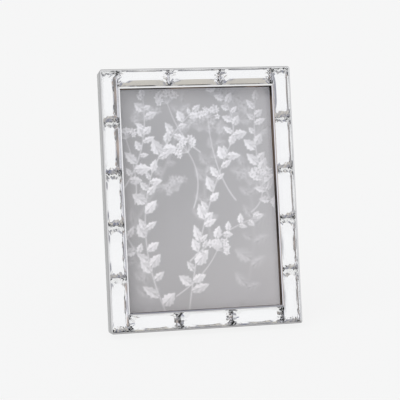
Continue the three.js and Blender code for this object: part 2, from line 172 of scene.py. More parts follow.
def filleted(corners: Array, radii: Sequence[float], steps: int = 5) -> Array:
    """A closed outline with each corner rounded.

    At a corner P with unit vectors a and b to its neighbours, the arc is P + r((1 - sin t)a + (1 - cos t)b)
    for t from 0 to a quarter turn, which is a circle where the corner is square.

    Args:
        corners: n rows of two coordinates.
        radii: the radius at each corner.
        steps: spaces along each arc.

    Returns:
        n * (steps + 1) rows.
    """
    corners = np.asarray(corners, float)
    a = unit(np.roll(corners, 1, 0) - corners)[:, None]
    b = unit(np.roll(corners, -1, 0) - corners)[:, None]
    t = np.linspace(0, math.pi / 2, steps + 1)[None, :, None]
    r = np.asarray(radii, float)[:, None, None]
    return (corners[:, None] + r * ((1 - np.sin(t)) * a + (1 - np.cos(t)) * b)).reshape(-1, 2)


def rectangle(width: float, height: float, radius: float) -> Array:
    """An anticlockwise rectangle in x and z with rounded corners and its middle at the origin."""
    return filleted(np.array([[-1, -1], [1, -1], [1, 1], [-1, 1]]) * [width / 2, height / 2], [radius] * 4)


def inset(outline: Array, amounts: Array, sharpest: float = 0.3) -> Array:
    """Copies of a closed outline drawn inwards.

    Each point moves along the mitre of its two edges, by the amount over the cosine of half their turn.

    Args:
        outline: n rows of two coordinates, anticlockwise.
        amounts: how far in each copy lies.
        sharpest: the least cosine, which limits how far a sharp corner moves.

    Returns:
        One n by 2 layer for each amount.
    """
    edge = unit(np.roll(outline, -1, 0) - outline)
    inward = np.stack([-edge[:, 1], edge[:, 0]], 1)
    mitre = unit(inward + np.roll(inward, 1, 0))
    share = np.maximum(np.sum(mitre * inward, 1, keepdims=True), sharpest)
    return outline + np.asarray(amounts, float)[:, None, None] * (mitre / share)


def anticlockwise(outline: Array) -> Array:
    """The outline, reversed where its area comes out negative.

    Args:
        outline: n rows of two coordinates.

    Returns:
        The same rows, in an order whose area, half the sum of cross products, is above zero.
    """
    x, y = outline.T
    area = np.sum(x * np.roll(y, -1) - y * np.roll(x, -1))
    return outline if area > 0 else outline[::-1]


def at_depths(outlines: Array, depths: Array) -> Array:
    """Rings of x, y and z: each outline of x and z at its own depth y."""
    y = np.broadcast_to(np.asarray(depths, float)[:, None], outlines.shape[:2])
    return np.stack([outlines[..., 0], y, outlines[..., 1]], -1)


def band_faces(rows: int, columns: int, wrap_rows: bool = False) -> Array:
    """Quads between neighbouring rings of a grid whose columns close on themselves.

    Args:
        rows: how many rings.
        columns: points on a ring.
        wrap_rows: True where the last ring meets the first.

    Returns:
        One row of four point numbers for each quad.
    """
    row = np.arange(rows if wrap_rows else rows - 1)[:, None]
    column = np.arange(columns)[None]
    after = (column + 1) % columns
    above = (row + 1) % rows
    quads = np.stack(np.broadcast_arrays(
        row * columns + column, row * columns + after, above * columns + after, above * columns + column), -1)
    return quads.reshape(-1, 4)


def grid_faces(rows: int, columns: int) -> Array:
    """Quads of an open grid, one row of four point numbers each."""
    start = (np.arange(rows - 1)[:, None] * columns + np.arange(columns - 1)[None]).reshape(-1, 1)
    return start + np.array([[0, 1, columns + 1, columns]])


def enclosed(points: Array, faces: Sequence[Sequence[int]]) -> float:
    """Six times the volume inside closed faces.

    Args:
        points: n rows of three coordinates.
        faces: the point numbers of each face.

    Returns:
        The sum of the triple products of each face's fan of triangles.
    """
    total = 0.0
    for size in sorted({len(f) for f in faces}):
        same = np.array([f for f in faces if len(f) == size])
        for k in range(1, size - 1):
            a, b, c = points[same[:, 0]], points[same[:, k]], points[same[:, k + 1]]
            total += float(np.sum(a * np.cross(b, c)))
    return total


def linked(name: str, data: bpy.types.ID) -> bpy.types.Object:
    """An object of this name round a mesh, lamp or camera, linked to the scene.

    Args:
        name: the object's name.
        data: what it shows.

    Returns:
        The object, at the origin.
    """
    made = bpy.data.objects.new(name, data)
    bpy.context.scene.collection.objects.link(made)
    return made


def smooth(mesh: bpy.types.Mesh, crease: float) -> None:
    """Smooths a mesh, with the edges that bend past crease degrees kept sharp."""
    mesh.polygons.foreach_set("use_smooth", np.ones(len(mesh.polygons), bool))
    mesh.set_sharp_from_angle(angle=math.radians(crease))


@dataclass
class Shell:
    """A closed surface: its points in some axes, its faces, and the material number of each face."""

    points: Array
    faces: list
    materials: Array | None = None

    def to_object(self, name: str, axes: Axes, crease: float = 30.0) -> bpy.types.Object:
        """Makes the mesh, with its faces turned outwards.

        Args:
            name: the object's name.
            axes: where the points are measured.
            crease: the angle in degrees past which an edge stays sharp.

        Returns:
            The object, at the origin of the row frame with its place in its mesh.
        """
        points = axes.place(self.points)
        faces = self.faces
        if enclosed(points - points.mean(0), faces) < 0:
            faces = [list(f)[::-1] for f in faces]
        mesh = bpy.data.meshes.new(name)
        mesh.from_pydata(points.tolist(), [], [list(map(int, f)) for f in faces])
        if self.materials is not None:
            mesh.polygons.foreach_set("material_index", np.asarray(self.materials, np.int32))
        smooth(mesh, crease)
        mesh.update()
        return linked(name, mesh)


def slab(front: Array, back: Array, y_front: float, y_back: float, edge: float, steps: int = 4) -> Shell:
    """A plate between two outlines with rounded edges.

    For t along the quarter round at a face, a ring lies edge times (1 - cos t) behind the face and is drawn in
    by edge times (1 - sin t). It mixes the two outlines by its share of the thickness.

    Args:
        front: outline in x and z at the front face.
        back: outline with as many points at the back face.
        y_front: depth of the front face.
        y_back: depth of the back face.
        edge: radius of the rounding.
        steps: spaces along each quarter round.

    Returns:
        The closed shell: quads between the rings, and one face on the front and on the back.
    """
    t = np.linspace(0, math.pi / 2, steps + 1)
    depth = np.concatenate([edge * (1 - np.cos(t)), (y_back - y_front) - edge * (1 - np.cos(t[::-1]))])
    amount = np.concatenate([edge * (1 - np.sin(t)), edge * (1 - np.sin(t[::-1]))])
    share = (depth / (y_back - y_front))[:, None, None]
    rings = at_depths(inset(front, amount) * (1 - share) + inset(back, amount) * share, y_front + depth)
    count, columns = rings.shape[:2]
    faces = band_faces(count, columns).tolist()
    faces.append(list(range(columns))[::-1])
    faces.append(list(range((count - 1) * columns, count * columns)))
    return Shell(rings.reshape(-1, 3), faces)


def dress(piece: bpy.types.Object, finishes: Sequence["Finish"], body: Body, node: str) -> None:
    """Gives a piece its materials and the body that it rides on, and hides the solid that it stands for.

    Args:
        piece: the object.
        finishes: its finishes, in the order of the material numbers.
        body: the body.
        node: the name of the solid that it replaces.
    """
    for finish in finishes:
        piece.data.materials.append(finish.material())
    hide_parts(node)
    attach(piece, body.value)
    LOG.info("%s: %d faces, for %s", piece.name, len(piece.data.polygons), node)


# ---- finishes


class NodeTree:
    """A node tree under construction."""

    def __init__(self, tree: bpy.types.NodeTree) -> None:
        """Clears the tree and keeps it."""
        self.tree = tree
        tree.nodes.clear()

    def add(self, kind: str, inputs: dict[Any, Any] | None = None, **settings: Any) -> bpy.types.Node:
        """Adds a node.

        Args:
            kind: its type without the leading ShaderNode.
            inputs: values or output sockets by input name or number.
            settings: attributes such as operation.

        Returns:
            The node.
        """
        node = self.tree.nodes.new("ShaderNode" + kind)
        for name, value in settings.items():
            setattr(node, name, value)
        for name, value in (inputs or {}).items():
            if isinstance(value, Socket):
                self.tree.links.new(value, node.inputs[name])
            else:
                node.inputs[name].default_value = value
        return node

    def math(self, operation: str, *values: Any) -> Socket:
        """The result of a Math node on numbers or sockets."""
        return self.add("Math", dict(enumerate(values)), operation=operation).outputs[0]

    def step(self, value: Any, low: float, high: float, to_low: float = 0.0, to_high: float = 1.0) -> Socket:
        """A smooth step of value from to_low at low to to_high at high."""
        inputs = {"Value": value, "From Min": low, "From Max": high, "To Min": to_low, "To Max": to_high}
        return self.add("MapRange", inputs, interpolation_type="SMOOTHSTEP").outputs[0]

    def noise(self, scale: float, detail: float = 3.0, stretch: tuple = (1.0, 1.0, 1.0)) -> Socket:
        """Noise on the piece's Object coordinates, in cycles a metre, from 0 to 1."""
        mapped = self.add("Mapping", {"Vector": self.add("TexCoord").outputs["Object"], "Scale": stretch})
        return self.add("TexNoise", {"Vector": mapped.outputs[0], "Scale": scale, "Detail": detail}).outputs["Fac"]

    def above(self) -> Socket:
        """Metres above the table, from the piece's Object coordinates."""
        return self.add("SeparateXYZ", {0: self.add("TexCoord").outputs["Object"]}).outputs[2]

    def between(self, share: Any, low: Any, high: Any) -> Socket:
        """A colour between two, each a colour or a socket, by share."""
        ends = [end if isinstance(end, Socket) else (*end, 1.0) for end in (low, high)]
        return self.add("Mix", {0: share, 6: ends[0], 7: ends[1]}, data_type="RGBA").outputs[2]

    def bump(self, height: Any, distance: float) -> Socket:
        """A normal bent by height, where a height of one is distance metres."""
        return self.add("Bump", {"Height": height, "Distance": distance, "Strength": 1.0}).outputs[0]

    def surface(self, colour: Any, rough: Any, normal: Any, more: dict[str, Any] | None = None) -> Socket:
        """A Principled surface of a colour, roughness and normal, with more of its inputs by name."""
        inputs = {"Base Color": colour, "Roughness": rough, "Normal": normal, **(more or {})}
        return self.add("BsdfPrincipled", inputs).outputs[0]


@dataclass(frozen=True)
class Finish:
    """A finish: a name and the colour range of its surface. Each kind shades it in its own way."""

    name: str
    low: tuple
    high: tuple

    def material(self) -> bpy.types.Material:
        """The finish as a material, made once.

        Returns:
            The material, new or from before.
        """
        made = bpy.data.materials.get(self.name)
        if made is None:
            made = bpy.data.materials.new(self.name)
            made.use_nodes = True
            nodes = NodeTree(made.node_tree)
            nodes.add("OutputMaterial", {"Surface": self.shade(nodes)})
        return made

    def shade(self, nodes: NodeTree) -> Socket:
        """The surface's shader, added to the nodes."""
        raise NotImplementedError


@dataclass(frozen=True)
class Metal(Finish):
    """Metal whose polish varies: noise moves its colour and roughness and bends its normal a little.

    Edge is how bright it stays at a grazing angle. Foot_shade is a painted shade: the darker colour that it
    takes near the table, where it mirrors the shadow at its foot, and which fades out between the two
    foot_shade_heights in metres.
    """

    smooth: float = 0.05
    rough: float = 0.12
    grain: float = 900.0
    stretch: tuple = (1.0, 1.0, 1.0)
    wave: float = 0.00002
    wave_scale: float = 60.0
    edge: float = 1.0
    foot_shade: tuple | None = None
    foot_shade_heights: tuple = (0.003, 0.007)
    foot_shade_cover: float = 0.9

    def shade(self, nodes: NodeTree) -> Socket:
        """A metallic surface with worked polish.

        Args:
            nodes: the tree.

        Returns:
            The shader.
        """
        grain = nodes.noise(self.grain, 4.0, self.stretch)
        broad = nodes.noise(self.wave_scale, 2.0)
        roughness = nodes.step(grain, 0.3, 0.7, self.smooth, self.rough)
        colour = nodes.between(broad, self.low, self.high)
        # painted shade: darker near the table, for the shadow that the metal mirrors at its foot
        if self.foot_shade:
            share = nodes.step(nodes.above(), *self.foot_shade_heights, self.foot_shade_cover, 0.0)
            colour = nodes.between(share, colour, self.foot_shade)
        return nodes.surface(colour, roughness, nodes.bump(broad, self.wave),
                             {"Metallic": 1.0, "Specular Tint": (self.edge, self.edge, self.edge, 1.0)})


@dataclass(frozen=True)
class Glass(Finish):
    """Clear glass with faint streaks. A pane also lets lamps through to what it covers."""

    streaks: float = 0.000015
    streak_scale: float = 90.0
    ior: float = 1.52
    pane: bool = False

    def shade(self, nodes: NodeTree) -> Socket:
        """A transmissive surface, mixed with clear for shadow and diffuse rays on a pane.

        Args:
            nodes: the tree.

        Returns:
            The shader.
        """
        streak = nodes.noise(self.streak_scale, 2.0)
        glass = nodes.surface(nodes.between(streak, self.low, self.high), 0.0, nodes.bump(streak, self.streaks),
                              {"IOR": self.ior, "Transmission Weight": 1.0})
        if not self.pane:
            return glass
        clear = nodes.add("BsdfTransparent").outputs[0]
        rays = nodes.add("LightPath").outputs
        lamp = nodes.math("MAXIMUM", rays["Is Shadow Ray"], rays["Is Diffuse Ray"])
        return nodes.add("MixShader", {0: lamp, 1: glass, 2: clear}).outputs[0]


@dataclass(frozen=True)
class Fibrous(Finish):
    """Card, fibreboard or velvet: broad noise, stretched along the fibres or the nap, and fine noise.

    Weights are the parts of the fine and the broad noise in their sum, which moves the colour between the two
    edges and bends the normal. The fine noise moves the roughness. Sheen is the tint of a pile's soft sheen.
    """

    broad: float = 700.0
    fine: float = 2500.0
    height: float = 0.00005
    rough: tuple = (0.7, 0.9)
    detail: float = 5.0
    stretch: tuple = (1.0, 1.0, 0.35)
    weights: tuple = (0.35, 0.75)
    edges: tuple = (0.3, 0.8)
    sheen: tuple | None = None

    def shade(self, nodes: NodeTree) -> Socket:
        """A matt surface of fibres or of short pile.

        Args:
            nodes: the tree.

        Returns:
            The shader.
        """
        broad = nodes.noise(self.broad, self.detail, self.stretch)
        fine = nodes.noise(self.fine, 2.0)
        share = nodes.math("MULTIPLY_ADD", fine, self.weights[0], nodes.math("MULTIPLY", broad, self.weights[1]))
        sheen = {"Sheen Weight": 0.35, "Sheen Roughness": 0.4, "Sheen Tint": self.sheen} if self.sheen else None
        return nodes.surface(nodes.between(nodes.step(share, *self.edges), self.low, self.high),
                             nodes.step(fine, 0.2, 0.8, *self.rough), nodes.bump(share, self.height), sheen)


@dataclass(frozen=True)
class PaintedShade(Finish):
    """Painted shade: near-black matt paint with faint brush marks, standing in for the shade of the recess behind
    the lip, and turning to a warmer tone in places.

    It turns warmer in long patches, of which only the low_patch_share shows under the patch_heights, and by
    band_share in a band from the band_start heights to the band_end heights. Heights are in metres above the table.
    """

    brush: float = 900.0
    patch: float = 38.0
    patch_edges: tuple = (0.47, 0.64)
    patch_heights: tuple = (0.055, 0.085)
    low_patch_share: float = 0.3
    band_share: float = 0.5
    band_start: tuple = (0.08, 0.12)
    band_end: tuple = (0.145, 0.148)
    rough: tuple = (0.6, 0.75)
    shine: float = 0.1
    height: float = 0.00002

    def shade(self, nodes: NodeTree) -> Socket:
        """A matt dark surface, painted shade for the recess.

        Args:
            nodes: the tree.

        Returns:
            The shader.
        """
        brush = nodes.noise(self.brush, 3.0, (1.0, 1.0, 0.2))
        height = nodes.above()
        patch = nodes.step(nodes.noise(self.patch, 1.0), *self.patch_edges)
        patch = nodes.math("MULTIPLY", patch, nodes.step(height, *self.patch_heights, self.low_patch_share, 1.0))
        warm_band = nodes.math("MULTIPLY", nodes.step(height, *self.band_start, 0.0, self.band_share),
                            nodes.step(height, *self.band_end, 1.0, 0.0))
        warm_share = nodes.math("MAXIMUM", patch, warm_band)
        share = nodes.math("MULTIPLY_ADD", brush, 0.2, nodes.math("MULTIPLY", warm_share, 0.8))
        return nodes.surface(nodes.between(share, self.low, self.high), nodes.step(brush, 0.3, 0.7, *self.rough),
                             nodes.bump(brush, self.height), {"Specular IOR Level": self.shine})


@dataclass(frozen=True)
class Printed(Finish):
    """Printed card: the design's own attribute, with the card's fine tooth over it."""

    attribute: str = "ink"
    tooth: float = 5000.0
    rough: tuple = (0.5, 0.62)
    height: float = 0.00001

    def shade(self, nodes: NodeTree) -> Socket:
        """A satin surface with the design's colours.

        Args:
            nodes: the tree.

        Returns:
            The shader.
        """
        ink = nodes.add("Attribute", attribute_name=self.attribute).outputs["Color"]
        tooth = nodes.noise(self.tooth, 2.0)
        shade = nodes.between(tooth, self.low, self.high)
        mix = nodes.add("Mix", {0: 1.0, 6: ink, 7: shade}, data_type="RGBA", blend_type="MULTIPLY")
        return nodes.surface(mix.outputs[2], nodes.step(tooth, 0.2, 0.8, *self.rough),
                             nodes.bump(tooth, self.height))


CHROME = Metal("bright_plate", (0.84, 0.845, 0.85), (0.92, 0.925, 0.93), 0.02, 0.06)
# the front rim, with painted shade near the table
RIM_PLATE = Metal("rim_plate_with_foot_shade", (0.64, 0.64, 0.645), (0.76, 0.76, 0.76), grain=700.0, edge=0.86,
                  foot_shade=(0.34, 0.335, 0.33))
WALL_PLATE = Metal("drawn_side_plate_and_bead_shade", (0.4, 0.405, 0.41), (0.54, 0.545, 0.55), 0.12, 0.25, 700.0,
                   (1.0, 1.0, 0.02), edge=0.72)
# painted shade: the lip's inner wall is near black where the recess behind it is in shade
PAINTED_RECESS_SHADE = PaintedShade("painted_shade_inner_wall", (0.012, 0.011, 0.012), (0.3, 0.22, 0.165))
SILVERING = Metal("silvered_glass_back", (0.9, 0.905, 0.91), (0.95, 0.95, 0.95), 0.0, 0.03, wave=0.00001)
NICKEL = Metal("nickel_plate", (0.56, 0.56, 0.55), (0.68, 0.68, 0.67), 0.2, 0.38, 1500.0, (1.0, 1.0, 0.2), 0.00003)
BRASSED = Metal("brassed_plate", (0.62, 0.47, 0.22), (0.76, 0.6, 0.31), 0.16, 0.34, 1200.0)
BAR_GLASS = Glass("clear_cut_glass", (0.985, 0.992, 0.99), (1.0, 1.0, 1.0))
PANE_GLASS = Glass("clear_float_glass", (0.975, 0.978, 0.978), (0.987, 0.99, 0.99), 0.000002, 12.0, pane=True)
PRINTED = Printed("printed_card", (0.96, 0.96, 0.96), (1.0, 1.0, 1.0))
CARD = Fibrous("grey_card", (0.3, 0.26, 0.2), (0.46, 0.41, 0.33))
FIBREBOARD = Fibrous("black_painted_fibreboard", (0.018, 0.016, 0.015), (0.05, 0.046, 0.042),
                     900.0, 3000.0, 0.00012, (0.65, 0.85))
VELVET = Fibrous("black_velvet", (0.008, 0.008, 0.009), (0.028, 0.028, 0.032), 45.0, 3200.0, 0.0002, (0.85, 1.0),
                 3.0, (1.0, 1.0, 0.5), (0.5, 0.6), (0.35, 0.75), (0.5, 0.5, 0.55, 1.0))


# ---- metal tray


@dataclass
class MetalTray:
    """The polished tray: side wall with a beaded front rim, bar channel, raised lip and opening.

    The lip's crown falls towards the picture, and its inner face is painted near black from a little behind
    the crown, as painted shade for the recess.
    The corners are a little tighter than the solid's.
    """

    sizes: Sizes = field(default_factory=Sizes)
    corner: float = 1.4
    bead: float = 0.1
    outer_bead: float = 0.28
    lip_fall: float = 0.54
    rear_round: float = 0.3
    fold: float = 0.25
    arc_steps: int = 10
    sharpest: float = 0.12
    near: float = 0.02
    lip_near: float = 0.05
    side_share: float = 0.75
    rim_depth: float = 0.5
    crease: float = 50.0

    def profile(self) -> Array:
        """The wall's section, closed.

        Returns:
            Rows of how far in from the outside and how far back, in millimetres.
        """
        s = self.sizes
        lip_out, lip_in = s.wall + s.channel, s.wall + s.channel + s.lip
        floor_back = s.channel_depth + s.floor
        corners = [
            [0, s.depth], [0, 0], [s.wall, 0], [s.wall, s.channel_depth], [lip_out, s.channel_depth],
            [lip_out, s.lip_setback], [lip_in, s.lip_setback + self.lip_fall], [lip_in, floor_back],
            [s.wall, floor_back], [s.wall, s.depth]]
        radii = [self.rear_round, self.outer_bead, self.bead, self.fold, self.fold, self.bead, self.bead, self.fold,
                 self.fold, self.rear_round]
        return filleted(np.array(corners, float), radii)

    def build(self) -> Shell:
        """Carries the section round the frame.

        A section point that lies a in from the outside runs round a rectangle smaller by a on each side,
        whose corner radius is the outer one less a, and never less than the sharpest.

        Returns:
            The closed shell, with its middle at the middle of the frame. Its faces are numbered 1 on the
            inner wall, painted near black as shade, 2 on the outer side and on the outer bead, whose darker plate is
            painted shade, and 3 on the front rim.
        """
        s = self.sizes
        section = self.profile()
        inward, depth = section[:, 0][:, None], section[:, 1][:, None]
        radius = np.maximum(self.corner - inward, self.sharpest)
        angle = np.linspace(0, math.pi / 2, self.arc_steps + 1)
        angle = (angle[None] + (math.pi / 2 * np.arange(4))[:, None]).ravel()[None]
        side_x = np.repeat([1, -1, -1, 1], self.arc_steps + 1)[None]
        side_z = np.repeat([1, 1, -1, -1], self.arc_steps + 1)[None]
        x = side_x * (s.width / 2 - inward - radius) + radius * np.cos(angle)
        z = side_z * (s.height / 2 - inward - radius) + radius * np.sin(angle)
        points = np.stack([x, np.broadcast_to(depth, x.shape), z], -1)
        faces = band_faces(*points.shape[:2], wrap_rows=True)
        reach, back = inward[faces // points.shape[1], 0], depth[faces // points.shape[1], 0]
        crown = s.lip_setback + self.lip_fall
        # painted shade: the inner wall behind the crown gets the near-black finish, standing in for the recess's shade
        black = np.all((reach > s.wall + s.channel + s.lip - self.lip_near) & (back > crown + self.near), 1)
        # painted shade: the outer bead takes the darker side plate, standing in for the darker floor that it mirrors
        # along the bottom edge
        side = np.all((reach < self.side_share * self.outer_bead) & (back < s.depth / 2), 1)
        side |= np.all(reach < self.near, 1)
        rim = np.all((reach < s.wall + self.near) & (back < self.rim_depth), 1) & ~side
        return Shell(points.reshape(-1, 3), faces.tolist(), black + 2 * side + 3 * rim)

    def make(self, axes: Axes) -> None:
        """Builds and dresses the tray."""
        piece = self.build().to_object("polished_tray", axes.moved(0, 0, self.sizes.middle), self.crease)
        dress(piece, [CHROME, PAINTED_RECESS_SHADE, WALL_PLATE, RIM_PLATE], Body.FRAME, "tray")


# ---- glass bars

FALL_FROM, FALL_OVER = 0.8, 0.2


@dataclass(frozen=True)
class Edge:
    """One ring round a bar: half its length, where its two long sides lie, and its height, all in millimetres.

    Clip is how much of each corner is cut off, waist how far each long side bows in at its middle, crown how
    much lower its ends lie, fall how much lower still they drop near the corners, bow how far its ends bulge,
    and skew its slide along for each millimetre across. Chips are knots across the far end and then the near
    one, each with how far it stands out and up.
    """

    length: float
    inner: float
    outer: float
    height: float
    clip: float = 0.1
    inner_waist: float = 0.0
    outer_waist: float = 0.0
    crown: float = 0.0
    bow: float = 0.0
    skew: float = 0.0
    fall: float = 0.0
    chips: tuple = (((0, 0), (0, 0)), ((0, 0), (0, 0)))

    def ring(self, long_steps: int, short_steps: int) -> Array:
        """The ring, at p along, q across and h up, with the picture's side at low q.

        A long side runs at q = inner (or outer) moved in by its waist times (1 - t squared), with h = height
        less crown times t squared, less fall times the square of how far t is from FALL_FROM over FALL_OVER. An
        end runs at p = length plus bow times (1 - e squared), with straight lines between its chips added. Both
        stop short of the corner by clip.

        Args:
            long_steps: spaces along a long side.
            short_steps: spaces along an end.

        Returns:
            Rows of p, q and h, in order round the bar.
        """
        t = np.linspace(-1, 1, long_steps + 1)
        e = np.linspace(-1, 1, short_steps + 1)
        late = np.clip((np.abs(t) - FALL_FROM) / FALL_OVER, 0, 1) ** 2
        long_p, long_h = t * (self.length - self.clip), self.height - self.crown * t ** 2 - self.fall * late
        end_q = (self.inner + self.outer) / 2 + e * ((self.outer - self.inner) / 2 - self.clip)
        chips = np.array(self.chips, float)
        out, up = (np.array([np.interp(e, np.linspace(-1, 1, len(c)), c[:, k]) for c in chips]) for k in (0, 1))
        end_p, end_h = self.length + self.bow * (1 - e ** 2), self.height - self.crown - self.fall
        low = np.stack([long_p, self.inner + self.inner_waist * (1 - t ** 2), long_h], 1)
        far = np.stack([end_p + out[0], end_q, end_h + up[0]], 1)
        high = np.stack([-long_p, self.outer - self.outer_waist * (1 - t ** 2), long_h], 1)
        near = np.stack([-end_p - out[1], end_q[::-1], end_h + up[1]], 1)
        ring = np.concatenate([low, far, high, near])
        ring[:, 0] += self.skew * ring[:, 1]
        return ring


@dataclass(frozen=True)
class Facets:
    """How a bar's long facets are cut in two.

    They fall by drop in all, of which side_rise is the steep lower part. Inner_share and outer_share are the
    parts of the inner and the outer cut's width that it takes. End_fall and step_fall are how much lower the
    foot and the step between the two lie at the ends.
    """

    drop: float
    side_rise: float
    inner_share: float
    outer_share: float
    end_fall: float
    step_fall: float


class Bevel(Enum):
    """The kinds of bevel on the bars."""

    EVEN = Facets(2.4, 0.62, 0.62, 0.62, 1.7, 0.3)
    CLOSE = Facets(2.4, 0.62, 0.62, 0.4, 1.7, 0.3)
    HALVED = Facets(2.4, 0.62, 0.5, 0.5, 1.7, 1.0)
    LINED = Facets(2.4, 0.77, 0.667, 0.5, 1.7, 0.85)
    EDGED = Facets(2.4, 0.77, 0.62, 0.35, 1.7, 0.66)
    DEEP = Facets(4.2, 0.48, 0.35, 0.4, 0.0, -1.1)


@dataclass(frozen=True)
class BarCut:
    """How one bar is cut, in millimetres. A waist below zero is a bulge.

    Step_clip, step_crown and step_skew are the parts of the table's clip, crown and skew that the step between
    the facets has, and table_chips is the part of the step's chips that the table has.
    """

    half_length: float
    facets: Facets
    inner_cut: float
    outer_cut: float
    inner_waist: float
    outer_waist: float
    crown: float
    end_share: float
    end_cut: float
    clip: float
    skew: float
    chips: tuple
    half_width: float = 5.1
    height: float = 6.4
    arris: float = 0.08
    dome: float = 0.1
    step_clip: float = 0.55
    step_crown: float = 0.3
    step_skew: float = 0.5
    step_bow: float = 0.15
    table_bow: float = 0.25
    table_chips: float = 0.5
    long_steps: int = 28
    short_steps: int = 16
    dome_steps: int = 9

    def edges(self) -> list[Edge]:
        """The rings from the base up to the table's edge.

        Returns:
            The base, the top of its arris, the foot of the facets, the step between them and the table's edge.
        """
        cut = self.facets
        shoulder = self.height - cut.drop
        low, high = -self.half_width, self.half_width
        foot = Edge(self.half_length, low, high, self.arris)
        return [
            Edge(self.half_length - self.arris, low + self.arris, high - self.arris, 0),
            foot,
            replace(foot, height=shoulder, fall=cut.end_fall),
            Edge(self.half_length - self.end_cut * self.end_share, low + self.inner_cut * cut.inner_share,
                 high - self.outer_cut * cut.outer_share, shoulder + cut.drop * cut.side_rise,
                 self.clip * self.step_clip, self.inner_waist * cut.inner_share,
                 self.outer_waist * cut.outer_share, self.crown * self.step_crown, self.step_bow,
                 self.skew * self.step_skew, cut.step_fall, self.chips),
            Edge(self.half_length - self.end_cut, low + self.inner_cut, high - self.outer_cut,
                 self.height - self.dome, self.clip, self.inner_waist, self.outer_waist, self.crown,
                 self.table_bow, self.skew, 0.0, tuple(c[::-1] * [self.table_chips, 0] for c in self.chips)),
        ]

    def build(self) -> Shell:
        """The bar: rings from its base up its upright sides, up its facets and in over the domed table.

        Table rings are the table's edge drawn towards the middle by k, raised by dome times (1 - k squared).

        Returns:
            The closed shell. The faces of its base and upright sides are numbered 1 for the silvering, and its
            facets and table 0 for the clear glass.
        """
        rings = [edge.ring(self.long_steps, self.short_steps) for edge in self.edges()]
        table = rings[-1]
        middle = np.array([0, (self.inner_cut - self.outer_cut) / 2, self.height - self.dome])
        for k in np.linspace(1, 0, self.dome_steps + 1)[1:-1]:
            ring = middle + (table - middle) * np.array([k, k, k ** 2])
            ring[:, 2] += self.dome * (1 - k ** 2)
            rings.append(ring)
        rings = np.array(rings)
        count, columns = rings.shape[:2]
        points = np.concatenate([rings.reshape(-1, 3), [middle + [0, 0, self.dome]]])
        faces = band_faces(count, columns).tolist()
        last = (count - 1) * columns
        faces += [[last + n, last + (n + 1) % columns, len(points) - 1] for n in range(columns)]
        faces.append(list(range(columns))[::-1])
        materials = np.zeros(len(faces), int)
        materials[-1] = 1
        materials[:2 * columns] = 1
        return Shell(points, faces, materials)


class Row(Enum):
    """The bars of the four rows: each one's bevel, its inner and outer cut at the ends, and both at the middle."""

    LEFT = ((Bevel.DEEP, 3.4, 1.4, 3.0, 0.7), (Bevel.DEEP, 3.2, 1.4, 2.7, 0.8), (Bevel.LINED, 1.9, 2.0, 1.3, 1.3),
            (Bevel.LINED, 1.8, 2.0, 1.3, 1.3), (Bevel.LINED, 2.0, 1.6, 1.4, 0.7))
    RIGHT = ((Bevel.CLOSE, 1.4, 0.25, 1.4, 0.08), (Bevel.CLOSE, 2.6, 0.3, 2.3, 0.08),
             (Bevel.CLOSE, 2.6, 0.3, 2.3, 0.12), (Bevel.EDGED, 2.6, 0.75, 2.3, 0.6),
             (Bevel.EDGED, 2.6, 0.7, 2.3, 0.75))
    TOP = ((Bevel.EVEN, 3.7, 0.25, 3.7, 0.08), (Bevel.EVEN, 3.7, 0.25, 3.8, 0.08),
           (Bevel.EVEN, 3.7, 0.25, 3.7, 0.08))
    BOTTOM = ((Bevel.HALVED, 1.9, 2.4, 1.0, 1.3), (Bevel.HALVED, 1.7, 2.4, 0.9, 1.2),
              (Bevel.HALVED, 1.9, 2.4, 1.1, 1.3))


